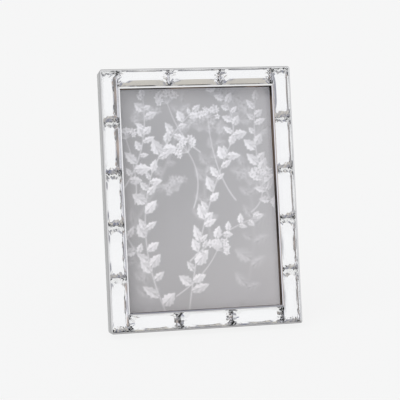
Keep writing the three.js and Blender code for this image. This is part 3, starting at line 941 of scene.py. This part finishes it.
@dataclass
class GlassBars:
    """Sixteen bars round the picture: five down each side and three along the top and the bottom.

    Crown, end_share, end_cut and clip are each a bar's usual value and how far one bar strays from it. Chips
    stand out and up by at most the two values given.
    """

    sizes: Sizes = field(default_factory=Sizes)
    side_shares: tuple = (0.194, 0.2, 0.2, 0.2, 0.206)
    on_end: int = 3
    joint: float = 0.12
    seat: float = 0.3
    crown: tuple = (0.4, 0.12)
    end_share: tuple = (0.5, 0.05)
    end_cut: tuple = (3.7, 0.4)
    clip: tuple = (1.5, 0.3)
    inner_stray: float = 0.1
    outer_stray: float = 0.05
    skew: float = 0.05
    chips: tuple = (0.5, 0.4)
    bottom_chips: tuple = (0.3, 0.5)
    chip_count: int = 9
    crease: float = 8.0
    seed: int = 11

    def cut(self, pitch: float, row: Row, number: int, random: np.random.Generator) -> BarCut:
        """One bar's cut, with the small differences of hand cutting.

        Args:
            pitch: the bar's length with its joint.
            row: the row that it lies in.
            number: its place in the row, from 0.
            random: where the differences come from.

        Returns:
            The cut.
        """
        d = random.uniform(-1, 1, 8)
        reach = self.bottom_chips if row is Row.BOTTOM else self.chips
        chips = random.uniform(-1, 1, (2, self.chip_count, 2)) * reach
        bevel, inner, outer, inner_middle, outer_middle = row.value[number]
        usual = (self.crown, self.end_share, self.end_cut, self.clip)
        strayed = (value + stray * by for (value, stray), by in zip(usual, d[4:]))
        return BarCut((pitch - self.joint) / 2, bevel.value, inner + self.inner_stray * d[0],
                      outer + self.outer_stray * d[1], inner_middle - inner, outer_middle - outer, *strayed,
                      self.skew * d[0], tuple(chips))

    def make(self, axes: Axes) -> None:
        """Builds and dresses the bars. In each bar's own axes p runs along it, q across it and h forwards.

        Args:
            axes: the leaning axes.
        """
        s = self.sizes
        random = np.random.default_rng(self.seed)
        column = s.width / 2 - s.wall - s.channel / 2
        row = s.height / 2 - s.wall - s.channel / 2
        base = s.channel_depth - self.seat
        for side, sign, kind in (("left", -1, Row.LEFT), ("right", 1, Row.RIGHT)):
            top = s.height - s.wall
            turn = np.array([[0, 0, -sign], [sign, 0, 0], [0, -1, 0]])
            for n, share in enumerate(self.side_shares):
                pitch = share * (s.height - 2 * s.wall)
                self.one(f"{side}_{n + 1}", self.cut(pitch, kind, n, random), turn,
                         axes.moved(sign * column, base, top - pitch / 2))
                top -= pitch
        pitch = (s.width - 2 * (s.wall + s.channel)) / self.on_end
        for side, sign, kind in (("top", 1, Row.TOP), ("bottom", -1, Row.BOTTOM)):
            turn = np.array([[sign, 0, 0], [0, 0, sign], [0, -1, 0]])
            for n in range(self.on_end):
                x = (n - (self.on_end - 1) / 2) * pitch
                self.one(f"{side}_{n + 1}", self.cut(pitch, kind, n, random), turn,
                         axes.moved(x, base, s.middle + sign * row))

    def one(self, where: str, cut: BarCut, turn: Array, axes: Axes) -> None:
        """Places one bar: its points times the turn.

        Args:
            where: its row and number.
            cut: how it is cut.
            turn: where p, q and h point.
            axes: axes at the middle of its base.
        """
        shell = cut.build()
        shell.points = shell.points @ turn
        piece = shell.to_object("cut_bar_" + where, axes, self.crease)
        dress(piece, [BAR_GLASS, SILVERING], Body.FRAME, "bar_" + where)


# ---- what lies in the recess


@dataclass(frozen=True)
class Ink:
    """How a motif is laid: its tone, how far its edge fades in millimetres, and how much ground it hides."""

    tone: float
    soft: float
    cover: float = 1.0


class Sheet:
    """The printed sheet's tones while it is drawn, at points x right of its middle and z above it."""

    def __init__(self, x: Array, z: Array, ground: Array, seed: int) -> None:
        """Keeps the points, the ground's tones and where the small differences come from."""
        self.x, self.z, self.tones = x, z, ground
        self.random = np.random.default_rng(seed)

    def lay(self, near: Array, cover: Array, tone: Array | float) -> None:
        """Lays a tone over the points marked near, by how much it covers each."""
        self.tones[near] += (tone - self.tones[near]) * np.clip(cover, 0, 1)

    def stem(self, path: Array, width: float, ink: Ink) -> None:
        """Draws a stem: full where the nearest point of its path is within half the width.

        Args:
            path: rows of x and z along the stem.
            width: its width at the start; it thins to half.
            ink: how it is laid.
        """
        low, high = path.min(0) - 2, path.max(0) + 2
        near = (self.x > low[0]) & (self.x < high[0]) & (self.z > low[1]) & (self.z < high[1])
        x, z = self.x[near][:, None], self.z[near][:, None]
        start, run = path[:-1], np.diff(path, axis=0)
        t = ((x - start[:, 0]) * run[:, 0] + (z - start[:, 1]) * run[:, 1]) / np.sum(run ** 2, 1)
        t = np.clip(t, 0, 1)
        gap = np.hypot(x - start[:, 0] - t * run[:, 0], z - start[:, 1] - t * run[:, 1])
        half = width / 2 * (1 - 0.5 * (np.arange(len(start)) + t) / len(start))
        self.lay(near, np.clip((half + ink.soft - gap) / (2 * ink.soft), 0, 1).max(1) * ink.cover, ink.tone)

    def leaf(self, root: Array, angle: float, length: float, width: float, wave: float, ink: Ink) -> None:
        """Draws a leaf: a along it from 0 to 1 and b across, full where |b| is under its half width there.

        The half width is width/2 times sin(pi a^0.8), frilled by a small wave; the midrib is darker and the
        tip is paler.

        Args:
            root: where it leaves its stem.
            angle: its direction in radians.
            length: its length.
            width: its width.
            wave: phase of its frill.
            ink: how it is laid.
        """
        near = (np.abs(self.x - root[0]) < length + 1) & (np.abs(self.z - root[1]) < length + 1)
        dx, dz = self.x[near] - root[0], self.z[near] - root[1]
        a = (dx * math.cos(angle) + dz * math.sin(angle)) / length
        b = dz * math.cos(angle) - dx * math.sin(angle)
        inside = np.clip(a, 0, 1)
        half = width / 2 * np.sin(math.pi * inside ** 0.8) * (1 + 0.13 * np.sin(26 * inside + wave))
        edge = np.clip((half - np.abs(b) + ink.soft * 0.5) / ink.soft, 0, 1) * (a > 0) * (a < 1)
        rib = np.exp(-(b / 0.35) ** 2) * 0.17 * (1 - inside)
        vein = 0.05 * np.sin(18 * inside + 2.2 * np.abs(b) + wave) * (1 - inside)
        self.lay(near, edge * ink.cover, ink.tone - rib + vein + 0.05 * np.tanh(b) + 0.03 * inside)

    def floret(self, at: Array, size: float, turn: float, ink: Ink) -> None:
        """Draws a floret: full within size times (0.76 + 0.24 cos(5(angle - turn))), with a darker middle.

        Args:
            at: its middle.
            size: how far a petal reaches.
            turn: its turn in radians.
            ink: how it is laid.
        """
        gap = np.hypot(self.x - at[0], self.z - at[1])
        near = gap < size + 1
        gap = gap[near]
        angle = np.arctan2(self.z[near] - at[1], self.x[near] - at[0]) - turn
        shade = ink.tone - 0.16 * np.exp(-(gap / (0.4 * size)) ** 2) + 0.03 * np.sin(2 * angle)
        edge = size * (0.76 + 0.24 * np.cos(5 * angle))
        self.lay(near, np.clip((edge + ink.soft / 2 - gap) / ink.soft, 0, 1) * ink.cover, shade)

    def umbel(self, root: Array, angle: float, size: float, ink: Ink) -> None:
        """Draws an umbel: fine spokes that fan out from the top of a stem, each with two florets at its tip.

        Args:
            root: where the spokes start.
            angle: the stem's direction in radians.
            size: the longest spoke.
            ink: how the florets are laid.
        """
        for spread in np.linspace(-1.25, 1.25, 9):
            d = self.random.uniform(-1, 1, 6)
            way = angle + spread + 0.1 * d[0]
            tip = root + size * (0.78 + 0.2 * d[1]) * np.array([math.cos(way), math.sin(way)])
            self.stem(np.linspace(root, tip, 4), 0.4, Ink(ink.tone - 0.07, ink.soft * 0.5))
            for n in range(2):
                spot = tip + 1.3 * d[2 + 2 * n:4 + 2 * n]
                self.floret(spot, 2.0 + 0.5 * d[n], 3 * d[3], replace(ink, tone=ink.tone + 0.03 * d[4]))

    def spray(self, path: Array, size: float, leaves: int, ink: Ink) -> None:
        """Draws a stem with pairs of leaves along it and a leaf at its tip.

        Args:
            path: rows of x and z along the stem.
            size: length of a leaf.
            leaves: how many pairs.
            ink: how the leaves are laid.
        """
        self.stem(path, 0.9, Ink(ink.tone - 0.04, ink.soft * 0.6))
        for n in range(leaves):
            k = int((0.22 + 0.76 * n / max(leaves - 1, 1)) * (len(path) - 2))
            along = math.atan2(*(path[k + 1] - path[k])[::-1])
            for side in (-1, 1):
                d = self.random.uniform(-1, 1, 5)
                length = size * (1 - 0.3 * n / leaves) * (1 + 0.3 * d[1])
                root = path[max(k + int(2 * side * (1 + d[2])), 0)]
                self.leaf(root, along + side * (0.85 + 0.4 * d[0]), length, length * (0.56 + 0.14 * d[2]),
                          6 * d[4], replace(ink, tone=ink.tone + 0.035 * d[3]))
        self.leaf(path[-1], math.atan2(*(path[-1] - path[-2])[::-1]), size * 0.8, size * 0.45, 1.0, ink)


def curve(start: tuple, bend: tuple, end: tuple, count: int = 60) -> Array:
    """Points on a stem: (1-t)^2 start + 2t(1-t) bend + t^2 end."""
    t = np.linspace(0, 1, count)[:, None]
    return (1 - t) ** 2 * np.array(start) + 2 * t * (1 - t) * np.array(bend) + t ** 2 * np.array(end)


@dataclass
class SprayPrint:
    """The printed sheet: pale leaf sprays and seed heads on a grey ground, drawn from curves.

    A spray is its stem's start, bend and end, its leaf length and its pairs of leaves. A blurred head is its
    place, direction and size, and a sharp one is its stem and its size.
    """

    sizes: Sizes = field(default_factory=Sizes)
    front: float = 9.6
    thickness: float = 0.3
    pitch: float = 0.45
    seed: int = 5
    half_sight: tuple = (49.6, 71.1)
    low_tint: tuple = (1.02, 0.98, 1.0)
    high_tint: tuple = (1.0, 0.99, 1.04)
    card_tone: float = 0.8
    far_ink: Ink = Ink(0.8, 2.4, 0.55)
    blurred_ink: Ink = Ink(0.84, 2.0, 0.7)
    near_ink: Ink = Ink(0.92, 0.7, 0.92)
    stalk_ink: Ink = Ink(0.88, 0.4)
    sharp_ink: Ink = Ink(0.94, 0.6, 0.95)
    far_sprays: tuple = (
        ((-58, -30), (-20, 5), (-8, 62), 11, 6), ((20, -80), (44, -30), (30, 20), 11, 6),
        ((62, 40), (30, 50), (10, 78), 11, 6), ((-30, -90), (-34, -50), (-54, -20), 11, 6),
        ((8, -30), (-4, 10), (16, 40), 11, 6))
    blurred_heads: tuple = (
        ((2, 44), 1.4, 11), ((-32, 52), 2.0, 10), ((34, 8), 1.1, 10), ((-14, 6), 2.2, 9), ((24, 58), 1.2, 10))
    near_sprays: tuple = (
        ((-20, -84), (-46, -30), (-30, 18), 11, 8), ((-12, -86), (-4, -20), (22, 34), 11, 10),
        ((-52, 4), (-30, 30), (-34, 66), 9, 7), ((56, -18), (34, 12), (40, 62), 10, 8),
        ((22, 34), (30, 52), (14, 72), 8, 5), ((-30, 18), (-20, 40), (-2, 56), 9, 5),
        ((-8, -40), (12, -22), (36, -14), 8, 5), ((-38, -36), (-48, -30), (-52, -8), 8, 3))
    sharp_heads: tuple = (
        ((-4, -6), (4, 14), (-6, 30), 9), ((24, -2), (10, 16), (8, 52), 8), ((-42, -2), (-38, 14), (-46, 40), 7),
        ((-18, -62), (2, -50), (10, -34), 8), ((2, 30), (-12, 40), (-18, 62), 8),
        ((34, -10), (44, -4), (42, 12), 7))

    def design(self, x: Array, z: Array) -> Array:
        """The sheet's tone at each point, from 0 to 1 as a screen shows it.

        Args:
            x: distance right of the middle.
            z: distance above the middle.

        Returns:
            The tones: a ground that brightens to the lower right, and towards the opening's edges with painted
            light that offsets the shade of the recess, with sprays and umbels over it back to front.
        """
        right, top = self.half_sight
        ground = 0.672 + 0.035 * (x / 50) - 0.03 * (z / 70) + 0.006 * np.sin(x / 9) * np.sin(z / 13)
        # painted light: the ground brightens near each edge of the opening, to offset the shade that the lip and walls
        # cast in the recess
        ground += 0.2 * np.exp((z - top) / 11) + 0.09 * np.exp((-right - x) / 8)
        ground += 0.1 * np.exp((-top - z) / 7) + 0.12 * np.exp((x - right) / 6)
        sheet = Sheet(x, z, ground, self.seed)
        for *stem, size, leaves in self.far_sprays:
            sheet.spray(curve(*stem), size, leaves, self.far_ink)
        for at, angle, size in self.blurred_heads:
            sheet.umbel(np.array(at, float), angle, size, self.blurred_ink)
        for *stem, size, leaves in self.near_sprays:
            sheet.spray(curve(*stem), size, leaves, self.near_ink)
        for *stem, size in self.sharp_heads:
            path = curve(*stem)
            sheet.stem(path, 0.8, self.stalk_ink)
            sheet.umbel(path[-1], math.atan2(*(path[-1] - path[-4])[::-1]), size, self.sharp_ink)
        return np.clip(sheet.tones, 0, 0.97)

    def make(self, axes: Axes) -> None:
        """Builds and dresses the sheet: a grid for its face, and its edges and back as a ring and a cap.

        A screen tone s becomes the light ((s + 0.055) / 1.055)^2.4, or s / 12.92 where it is very dark.

        Args:
            axes: the leaning axes.
        """
        width, height = self.sizes.print_width, self.sizes.print_height
        nx, nz = int(width / self.pitch) + 1, int(height / self.pitch) + 1
        z, x = np.meshgrid(np.linspace(-0.5, 0.5, nz) * height, np.linspace(-0.5, 0.5, nx) * width, indexing="ij")
        face = np.stack([x, np.full_like(x, self.front), z], -1).reshape(-1, 3)
        number = np.arange(nx * nz).reshape(nz, nx)
        rim = np.concatenate([number[0, :-1], number[:-1, -1], number[-1, :0:-1], number[:0:-1, 0]])
        points = np.concatenate([face, face[rim] + [0, self.thickness, 0]])
        back = len(face) + np.arange(len(rim))
        edge = np.stack([rim, back, np.roll(back, -1), np.roll(rim, -1)], 1)
        faces = grid_faces(nz, nx).tolist() + edge.tolist() + [back.tolist()]
        piece = Shell(points, faces).to_object("printed_sheet", axes.moved(0, 0, self.sizes.middle))
        tone = np.full(len(points), self.card_tone)
        tone[:len(face)] = self.design(x.ravel(), z.ravel())
        light = np.where(tone > 0.04045, ((tone + 0.055) / 1.055) ** 2.4, tone / 12.92)
        share = np.clip(0.5 + points[:, 2:] / height, 0, 1)
        tint = np.array(self.low_tint) * (1 - share) + np.array(self.high_tint) * share
        colours = np.concatenate([np.clip(light[:, None] * tint, 0, 1), np.ones((len(light), 1))], 1)
        ink = piece.data.color_attributes.new(PRINTED.attribute, "FLOAT_COLOR", "POINT")
        ink.data.foreach_set("color", colours.astype(np.float32).ravel())
        dress(piece, [PRINTED], Body.FRAME, "print")


@dataclass(frozen=True)
class Layer:
    """A flat layer of the picture's size: its solid, where its faces lie, its rounding, its finish and slot."""

    name: str
    node: str
    front: float
    back: float
    edge: float
    corner: float
    finish: Finish
    slot: Slot

    def make(self, sizes: Sizes, axes: Axes) -> None:
        """Builds and dresses the layer.

        Args:
            sizes: the frame's sizes.
            axes: the leaning axes, from the middle of the frame.
        """
        outline = rectangle(sizes.print_width, sizes.print_height, self.corner)
        piece = slab(outline, outline, self.front, self.back, self.edge).to_object(self.name, axes)
        dress(piece, [self.finish], Body.FRAME, self.node)


@dataclass
class PictureStack:
    """The pane, the filler card and the velvet back board, and the fibre ring that they lie in."""

    sizes: Sizes = field(default_factory=Sizes)
    layers: tuple = (
        Layer("picture_pane", "pane", 7.3, 9.3, 0.25, 0.3, PANE_GLASS, Slot.PANE),
        Layer("grey_filler_card", "filler_card", 10.2, 11.4, 0.1, 0.3, CARD, Slot.CARD),
        Layer("velvet_back_board", "back_board", 11.7, 14.7, 0.7, 0.9, VELVET, Slot.VELVET),
    )
    play: float = 0.4
    seat: float = 0.3
    corner: float = 0.3
    edge: float = 0.2

    def ring(self) -> Shell:
        """The fibre ring: a rectangle with a rectangular opening, as a square section carried round.

        It reaches from the first layer's front to the last one's back.

        Returns:
            The closed shell.
        """
        s = self.sizes
        around, front, back, edge = s.wall + self.seat, self.layers[0].front, self.layers[-1].back, self.edge
        outer = rectangle(s.width - 2 * around, s.height - 2 * around, self.corner)
        inner = rectangle(s.print_width + 2 * self.play, s.print_height + 2 * self.play, self.corner)
        amounts, depths = np.array([edge, 0, 0, edge]), [front, front + edge, back - edge, back]
        rings = np.concatenate([at_depths(inset(outer, amounts), depths),
                                at_depths(inset(inner, -amounts), depths)[::-1]])
        return Shell(rings.reshape(-1, 3), band_faces(*rings.shape[:2], wrap_rows=True).tolist())

    def make(self, axes: Axes) -> None:
        """Builds and dresses the layers and the ring.

        Args:
            axes: the leaning axes.
        """
        middle = axes.moved(0, 0, self.sizes.middle)
        for layer in self.layers:
            layer.make(self.sizes, middle)
        dress(self.ring().to_object("fibre_ring", middle), [FIBREBOARD], Body.FRAME, "surround")


# ---- back of the frame


@dataclass
class Easel:
    """The velvet strut, tapered and cut at the foot so that it props the frame both ways.

    Each foot is its left corner, heel and right corner in x and z, below the hinge line.
    """

    sizes: Sizes = field(default_factory=Sizes)
    tilt: float = 30.0
    opening: float = 26.0
    front: float = -0.7
    back: float = 2.3
    top_width: float = 22.0
    top: float = -2.0
    top_round: float = 3.0
    foot_rounds: tuple = (0.4, 0.6, 0.4)
    edge: float = 0.6
    front_foot: tuple = ((-13.88, -102.18), (0.0, -110.0), (13.49, -89.09))
    back_foot: tuple = ((-13.89, -102.70), (-0.26, -110.38), (13.49, -89.06))

    def axes(self) -> Axes:
        """The open strut's axes: on the hinge line, tilted with it and swung open.

        Returns:
            Axes with their origin where the joint says.
        """
        joint = next(j for j in frame["joints"] if j["name"] == "strut_fold")
        hinge = Axes(np.array(joint["pos_m"], float), self.sizes.axes().basis).turned(Turn.Y, -self.tilt)
        return hinge.turned(Turn.X, self.opening)

    def outline(self, foot: tuple) -> Array:
        """The strut's outline in x and z: rounded shoulders and the foot's three corners."""
        corners = np.array([(self.top_width / 2, self.top), (-self.top_width / 2, self.top), *foot], float)
        return anticlockwise(filleted(corners, [self.top_round, self.top_round, *self.foot_rounds]))

    def make(self) -> None:
        """Builds and dresses the strut."""
        shell = slab(self.outline(self.front_foot), self.outline(self.back_foot), self.front, self.back, self.edge)
        dress(shell.to_object("velvet_strut", self.axes()), [VELVET], Body.EASEL, "strut")


@dataclass
class SmallMetal:
    """The small metal pieces, which keep the solids' shapes with their edges broken and their rounds smooth."""

    corners: tuple = (Body.UPPER_LEFT, Body.LOWER_LEFT, Body.UPPER_RIGHT, Body.LOWER_RIGHT)
    edge: float = 0.12
    crease: float = 32.0
    flat: float = 1.0
    welded: float = 1e-6

    def refine(self, node: str, name: str, finish: Finish, body: Body = Body.FRAME) -> None:
        """Stands a smooth copy of a solid in its place.

        Args:
            node: the solid's name.
            name: the new piece's name.
            finish: its finish.
            body: the body that it rides on.
        """
        mesh = bpy.data.meshes.new(name)
        work = bmesh.new()
        work.from_mesh(frame["nodes"][node].data)
        bmesh.ops.remove_doubles(work, verts=work.verts, dist=self.welded)
        bmesh.ops.dissolve_limit(work, angle_limit=math.radians(self.flat), verts=work.verts, edges=work.edges)
        work.to_mesh(mesh)
        work.free()
        smooth(mesh, self.crease)
        piece = linked(name, mesh)
        bevel = piece.modifiers.new("broken_edges", "BEVEL")
        bevel.width, bevel.segments, bevel.limit_method = MM * self.edge, 2, "ANGLE"
        bevel.angle_limit = math.radians(self.crease)
        dress(piece, [finish], body, node)

    def make(self) -> None:
        """Refines every button, screw, hanger, nail, leaf, pin and rivet."""
        for body in self.corners:
            corner = body.name.lower()
            self.refine(f"button_{corner}", f"turn_button_{corner}", NICKEL, body)
            self.refine(f"button_screw_{corner}", f"slotted_screw_{corner}", NICKEL)
        for way in ("upright", "sideways"):
            self.refine(f"hanger_{way}", f"toothed_hanger_{way}", BRASSED)
            for n in (1, 2):
                self.refine(f"hanger_nail_{way}_{n}", f"brass_nail_{way}_{n}", BRASSED)
        for part, body in (("board", Body.FRAME), ("strut", Body.EASEL)):
            self.refine(f"hinge_leaf_{part}", f"leaf_on_{part}", NICKEL, body)
            for n in (1, 2):
                self.refine(f"rivet_{part}_{n}", f"round_rivet_{part}_{n}", NICKEL, body)
        self.refine("hinge_pin", "steel_hinge_pin", NICKEL)


# ---- studio


@dataclass(frozen=True)
class StudioCard:
    """A soft-edged card that glass and metal mirror: its middle and half its size in degrees, and its tone."""

    bearing: float
    height: float
    half_width: float
    half_height: float
    tone: tuple
    soft: float = 5.0

    def share(self, nodes: NodeTree, bearing: Any, height: Any) -> Socket:
        """How much of the card shows: the product of two smooth steps of the distance from its middle.

        Args:
            nodes: the tree.
            bearing: degrees right of the front.
            height: degrees above the horizon.

        Returns:
            One inside and none outside.
        """
        shares = []
        for value, middle, reach in ((bearing, self.bearing, self.half_width), (height, self.height, self.half_height)):
            away = nodes.math("ABSOLUTE", nodes.math("SUBTRACT", value, middle))
            shares.append(nodes.step(away, reach - self.soft / 2, reach + self.soft / 2, 1.0, 0.0))
        return nodes.math("MULTIPLY", *shares)


def towards(bearing: float, height: float) -> Vector:
    """The direction of a bearing right of the front and a height above the horizon, in degrees."""
    b, h = math.radians(bearing), math.radians(height)
    return Vector((math.sin(b) * math.cos(h), -math.cos(b) * math.cos(h), math.sin(h)))


@dataclass
class Studio:
    """A pale floor, a plain studio round it, one soft sun and the camera, in metres and degrees."""

    background: float = 0.922
    floor_side: float = 80.0
    floor_show: float = 0.93
    floor_front: tuple = (-0.9, -0.55)
    floor_dark: tuple = (0.3, 0.3, 0.32)
    room: float = 0.62
    room_colour: tuple = (0.97, 0.985, 1.0, 1.0)
    ceiling: tuple = ((0.25, 0.26, 0.34), (0.6, 0.57, 0.52))
    ceiling_scale: float = 6.0
    ceiling_edges: tuple = (0.35, 0.65)
    behind: tuple = (0.0, 0.25)
    cards: tuple = (
        StudioCard(26, 17.5, 46, 13.5, (0.99, 0.99, 1.0)),
        StudioCard(50.5, 14, 3.5, 16, (0.36, 0.36, 0.4), 3),
        StudioCard(-58, 12, 32, 22, (0.8, 0.8, 0.86)),
        StudioCard(-22.5, 16, 5, 22, (0.26, 0.25, 0.25), 3),
        StudioCard(-30, 12, 5, 9, (0.5, 0.42, 0.38), 4),
    )
    sun_from: tuple = (-35.0, 58.0)
    sun_strength: float = 1.4
    sun_spread: float = 60.0
    camera_from: tuple = (-11.5, 11.3)
    distance: float = 0.766
    lens: float = 108.0
    shift: tuple = (-0.0054, -0.005975)
    mirrorings: int = 10

    def rays(self, nodes: NodeTree) -> tuple:
        """Two shares: one for glossy and transmission rays, and one for those and camera rays.

        Args:
            nodes: the tree.

        Returns:
            The two sockets.
        """
        rays = nodes.add("LightPath").outputs
        mirrored = nodes.math("MAXIMUM", rays["Is Glossy Ray"], rays["Is Transmission Ray"])
        return mirrored, nodes.math("MAXIMUM", mirrored, rays["Is Camera Ray"])

    def sky(self) -> None:
        """Lights the world: a plain room for its light, and the cards and a mottled ceiling for mirrored rays."""
        world = bpy.data.worlds.new("plain_studio")
        world.use_nodes = True
        bpy.context.scene.world = world
        nodes = NodeTree(world.node_tree)
        direction = nodes.add("TexCoord").outputs["Generated"]
        way = nodes.add("SeparateXYZ", {0: direction}).outputs
        bearing = nodes.math("DEGREES", nodes.math("ARCTAN2", way[0], nodes.math("MULTIPLY", way[1], -1.0)))
        height = nodes.math("DEGREES", nodes.math("ARCSINE", way[2]))
        mottle = nodes.add("TexNoise", {"Vector": direction, "Scale": self.ceiling_scale, "Detail": 2.0}).outputs["Fac"]
        tone = nodes.between(nodes.step(mottle, *self.ceiling_edges), *self.ceiling)
        for card in self.cards:
            tone = nodes.between(card.share(nodes, bearing, height), tone, card.tone)
        plain = (self.background,) * 3
        tone = nodes.between(nodes.step(way[1], *self.behind), tone, plain)
        mirrored, seen = self.rays(nodes)
        tone = nodes.between(mirrored, plain, tone)
        light = nodes.add("Background", {"Color": self.room_colour, "Strength": self.room}).outputs[0]
        show = nodes.add("Background", {"Color": tone, "Strength": 1.0}).outputs[0]
        nodes.add("OutputWorld", {"Surface": nodes.add("MixShader", {0: seen, 1: light, 2: show}).outputs[0]})

    def floor(self) -> None:
        """A pale floor whose own colour shows by part, so that it keeps a soft shadow.

        For mirrored rays it falls to grey in front, past the lit part of the table.
        """
        half = self.floor_side / 2
        mesh = bpy.data.meshes.new("pale_floor")
        mesh.from_pydata([(-half, -half, 0), (half, -half, 0), (half, half, 0), (-half, half, 0)], [], [[0, 1, 2, 3]])
        piece = linked("pale_floor", mesh)
        made = bpy.data.materials.new("pale_floor")
        made.use_nodes = True
        nodes = NodeTree(made.node_tree)
        plain = (self.background,) * 3
        matt = nodes.add("BsdfDiffuse", {"Color": (*plain, 1)}).outputs[0]
        mirrored, seen = self.rays(nodes)
        depth = nodes.add("SeparateXYZ", {0: nodes.add("TexCoord").outputs["Object"]}).outputs[1]
        unlit = nodes.math("MULTIPLY", mirrored, nodes.step(depth, *self.floor_front, 1.0, 0.0))
        tone = nodes.between(unlit, plain, self.floor_dark)
        show = nodes.add("Emission", {"Color": tone, "Strength": 1.0}).outputs[0]
        share = nodes.math("MAXIMUM", nodes.math("MULTIPLY", seen, self.floor_show), unlit)
        nodes.add("OutputMaterial", {"Surface": nodes.add("MixShader", {0: share, 1: matt, 2: show}).outputs[0]})
        mesh.materials.append(made)

    def sun(self) -> None:
        """Adds a soft sun. Metal and glass mirror the cards in its place."""
        lamp = bpy.data.lights.new("soft_key", "SUN")
        lamp.energy, lamp.angle = self.sun_strength, math.radians(self.sun_spread)
        lit = linked("soft_key", lamp)
        lit.rotation_euler = towards(*self.sun_from).to_track_quat("Z", "Y").to_euler()
        lit.visible_glossy = lit.visible_transmission = False

    def camera(self, axes: Axes, middle: float) -> None:
        """Stands the camera in front, a little left of and above the frame, looking at its middle.

        Args:
            axes: the leaning axes.
            middle: the height of the frame's middle along them.
        """
        data = bpy.data.cameras.new("camera")
        data.lens, data.shift_x, data.shift_y = self.lens, *self.shift
        data.clip_start, data.clip_end = 0.01, 100
        eye = linked("camera", data)
        back = towards(*self.camera_from)
        eye.location = Vector(axes.place(np.array([0.0, 0.0, middle]))) + back * self.distance
        eye.rotation_euler = back.to_track_quat("Z", "Y").to_euler()
        bpy.context.scene.camera = eye

    def make(self, axes: Axes, middle: float) -> None:
        """Sets up the whole studio.

        Args:
            axes: the leaning axes.
            middle: the height of the frame's middle along them.
        """
        bpy.context.scene.view_settings.view_transform = "Standard"
        bpy.context.scene.cycles.glossy_bounces = self.mirrorings
        self.sky()
        self.floor()
        self.sun()
        self.camera(axes, middle)


def main() -> None:
    """Builds the frame's looks in order."""
    logging.basicConfig(level=logging.INFO, format="%(name)s %(message)s")
    sizes = Sizes()
    axes = sizes.axes()
    MetalTray(sizes).make(axes)
    GlassBars(sizes).make(axes)
    SprayPrint(sizes).make(axes)
    PictureStack(sizes).make(axes)
    Easel(sizes).make()
    SmallMetal().make()
    Studio().make(axes, sizes.middle)


if __name__ == "__main__":
    main()
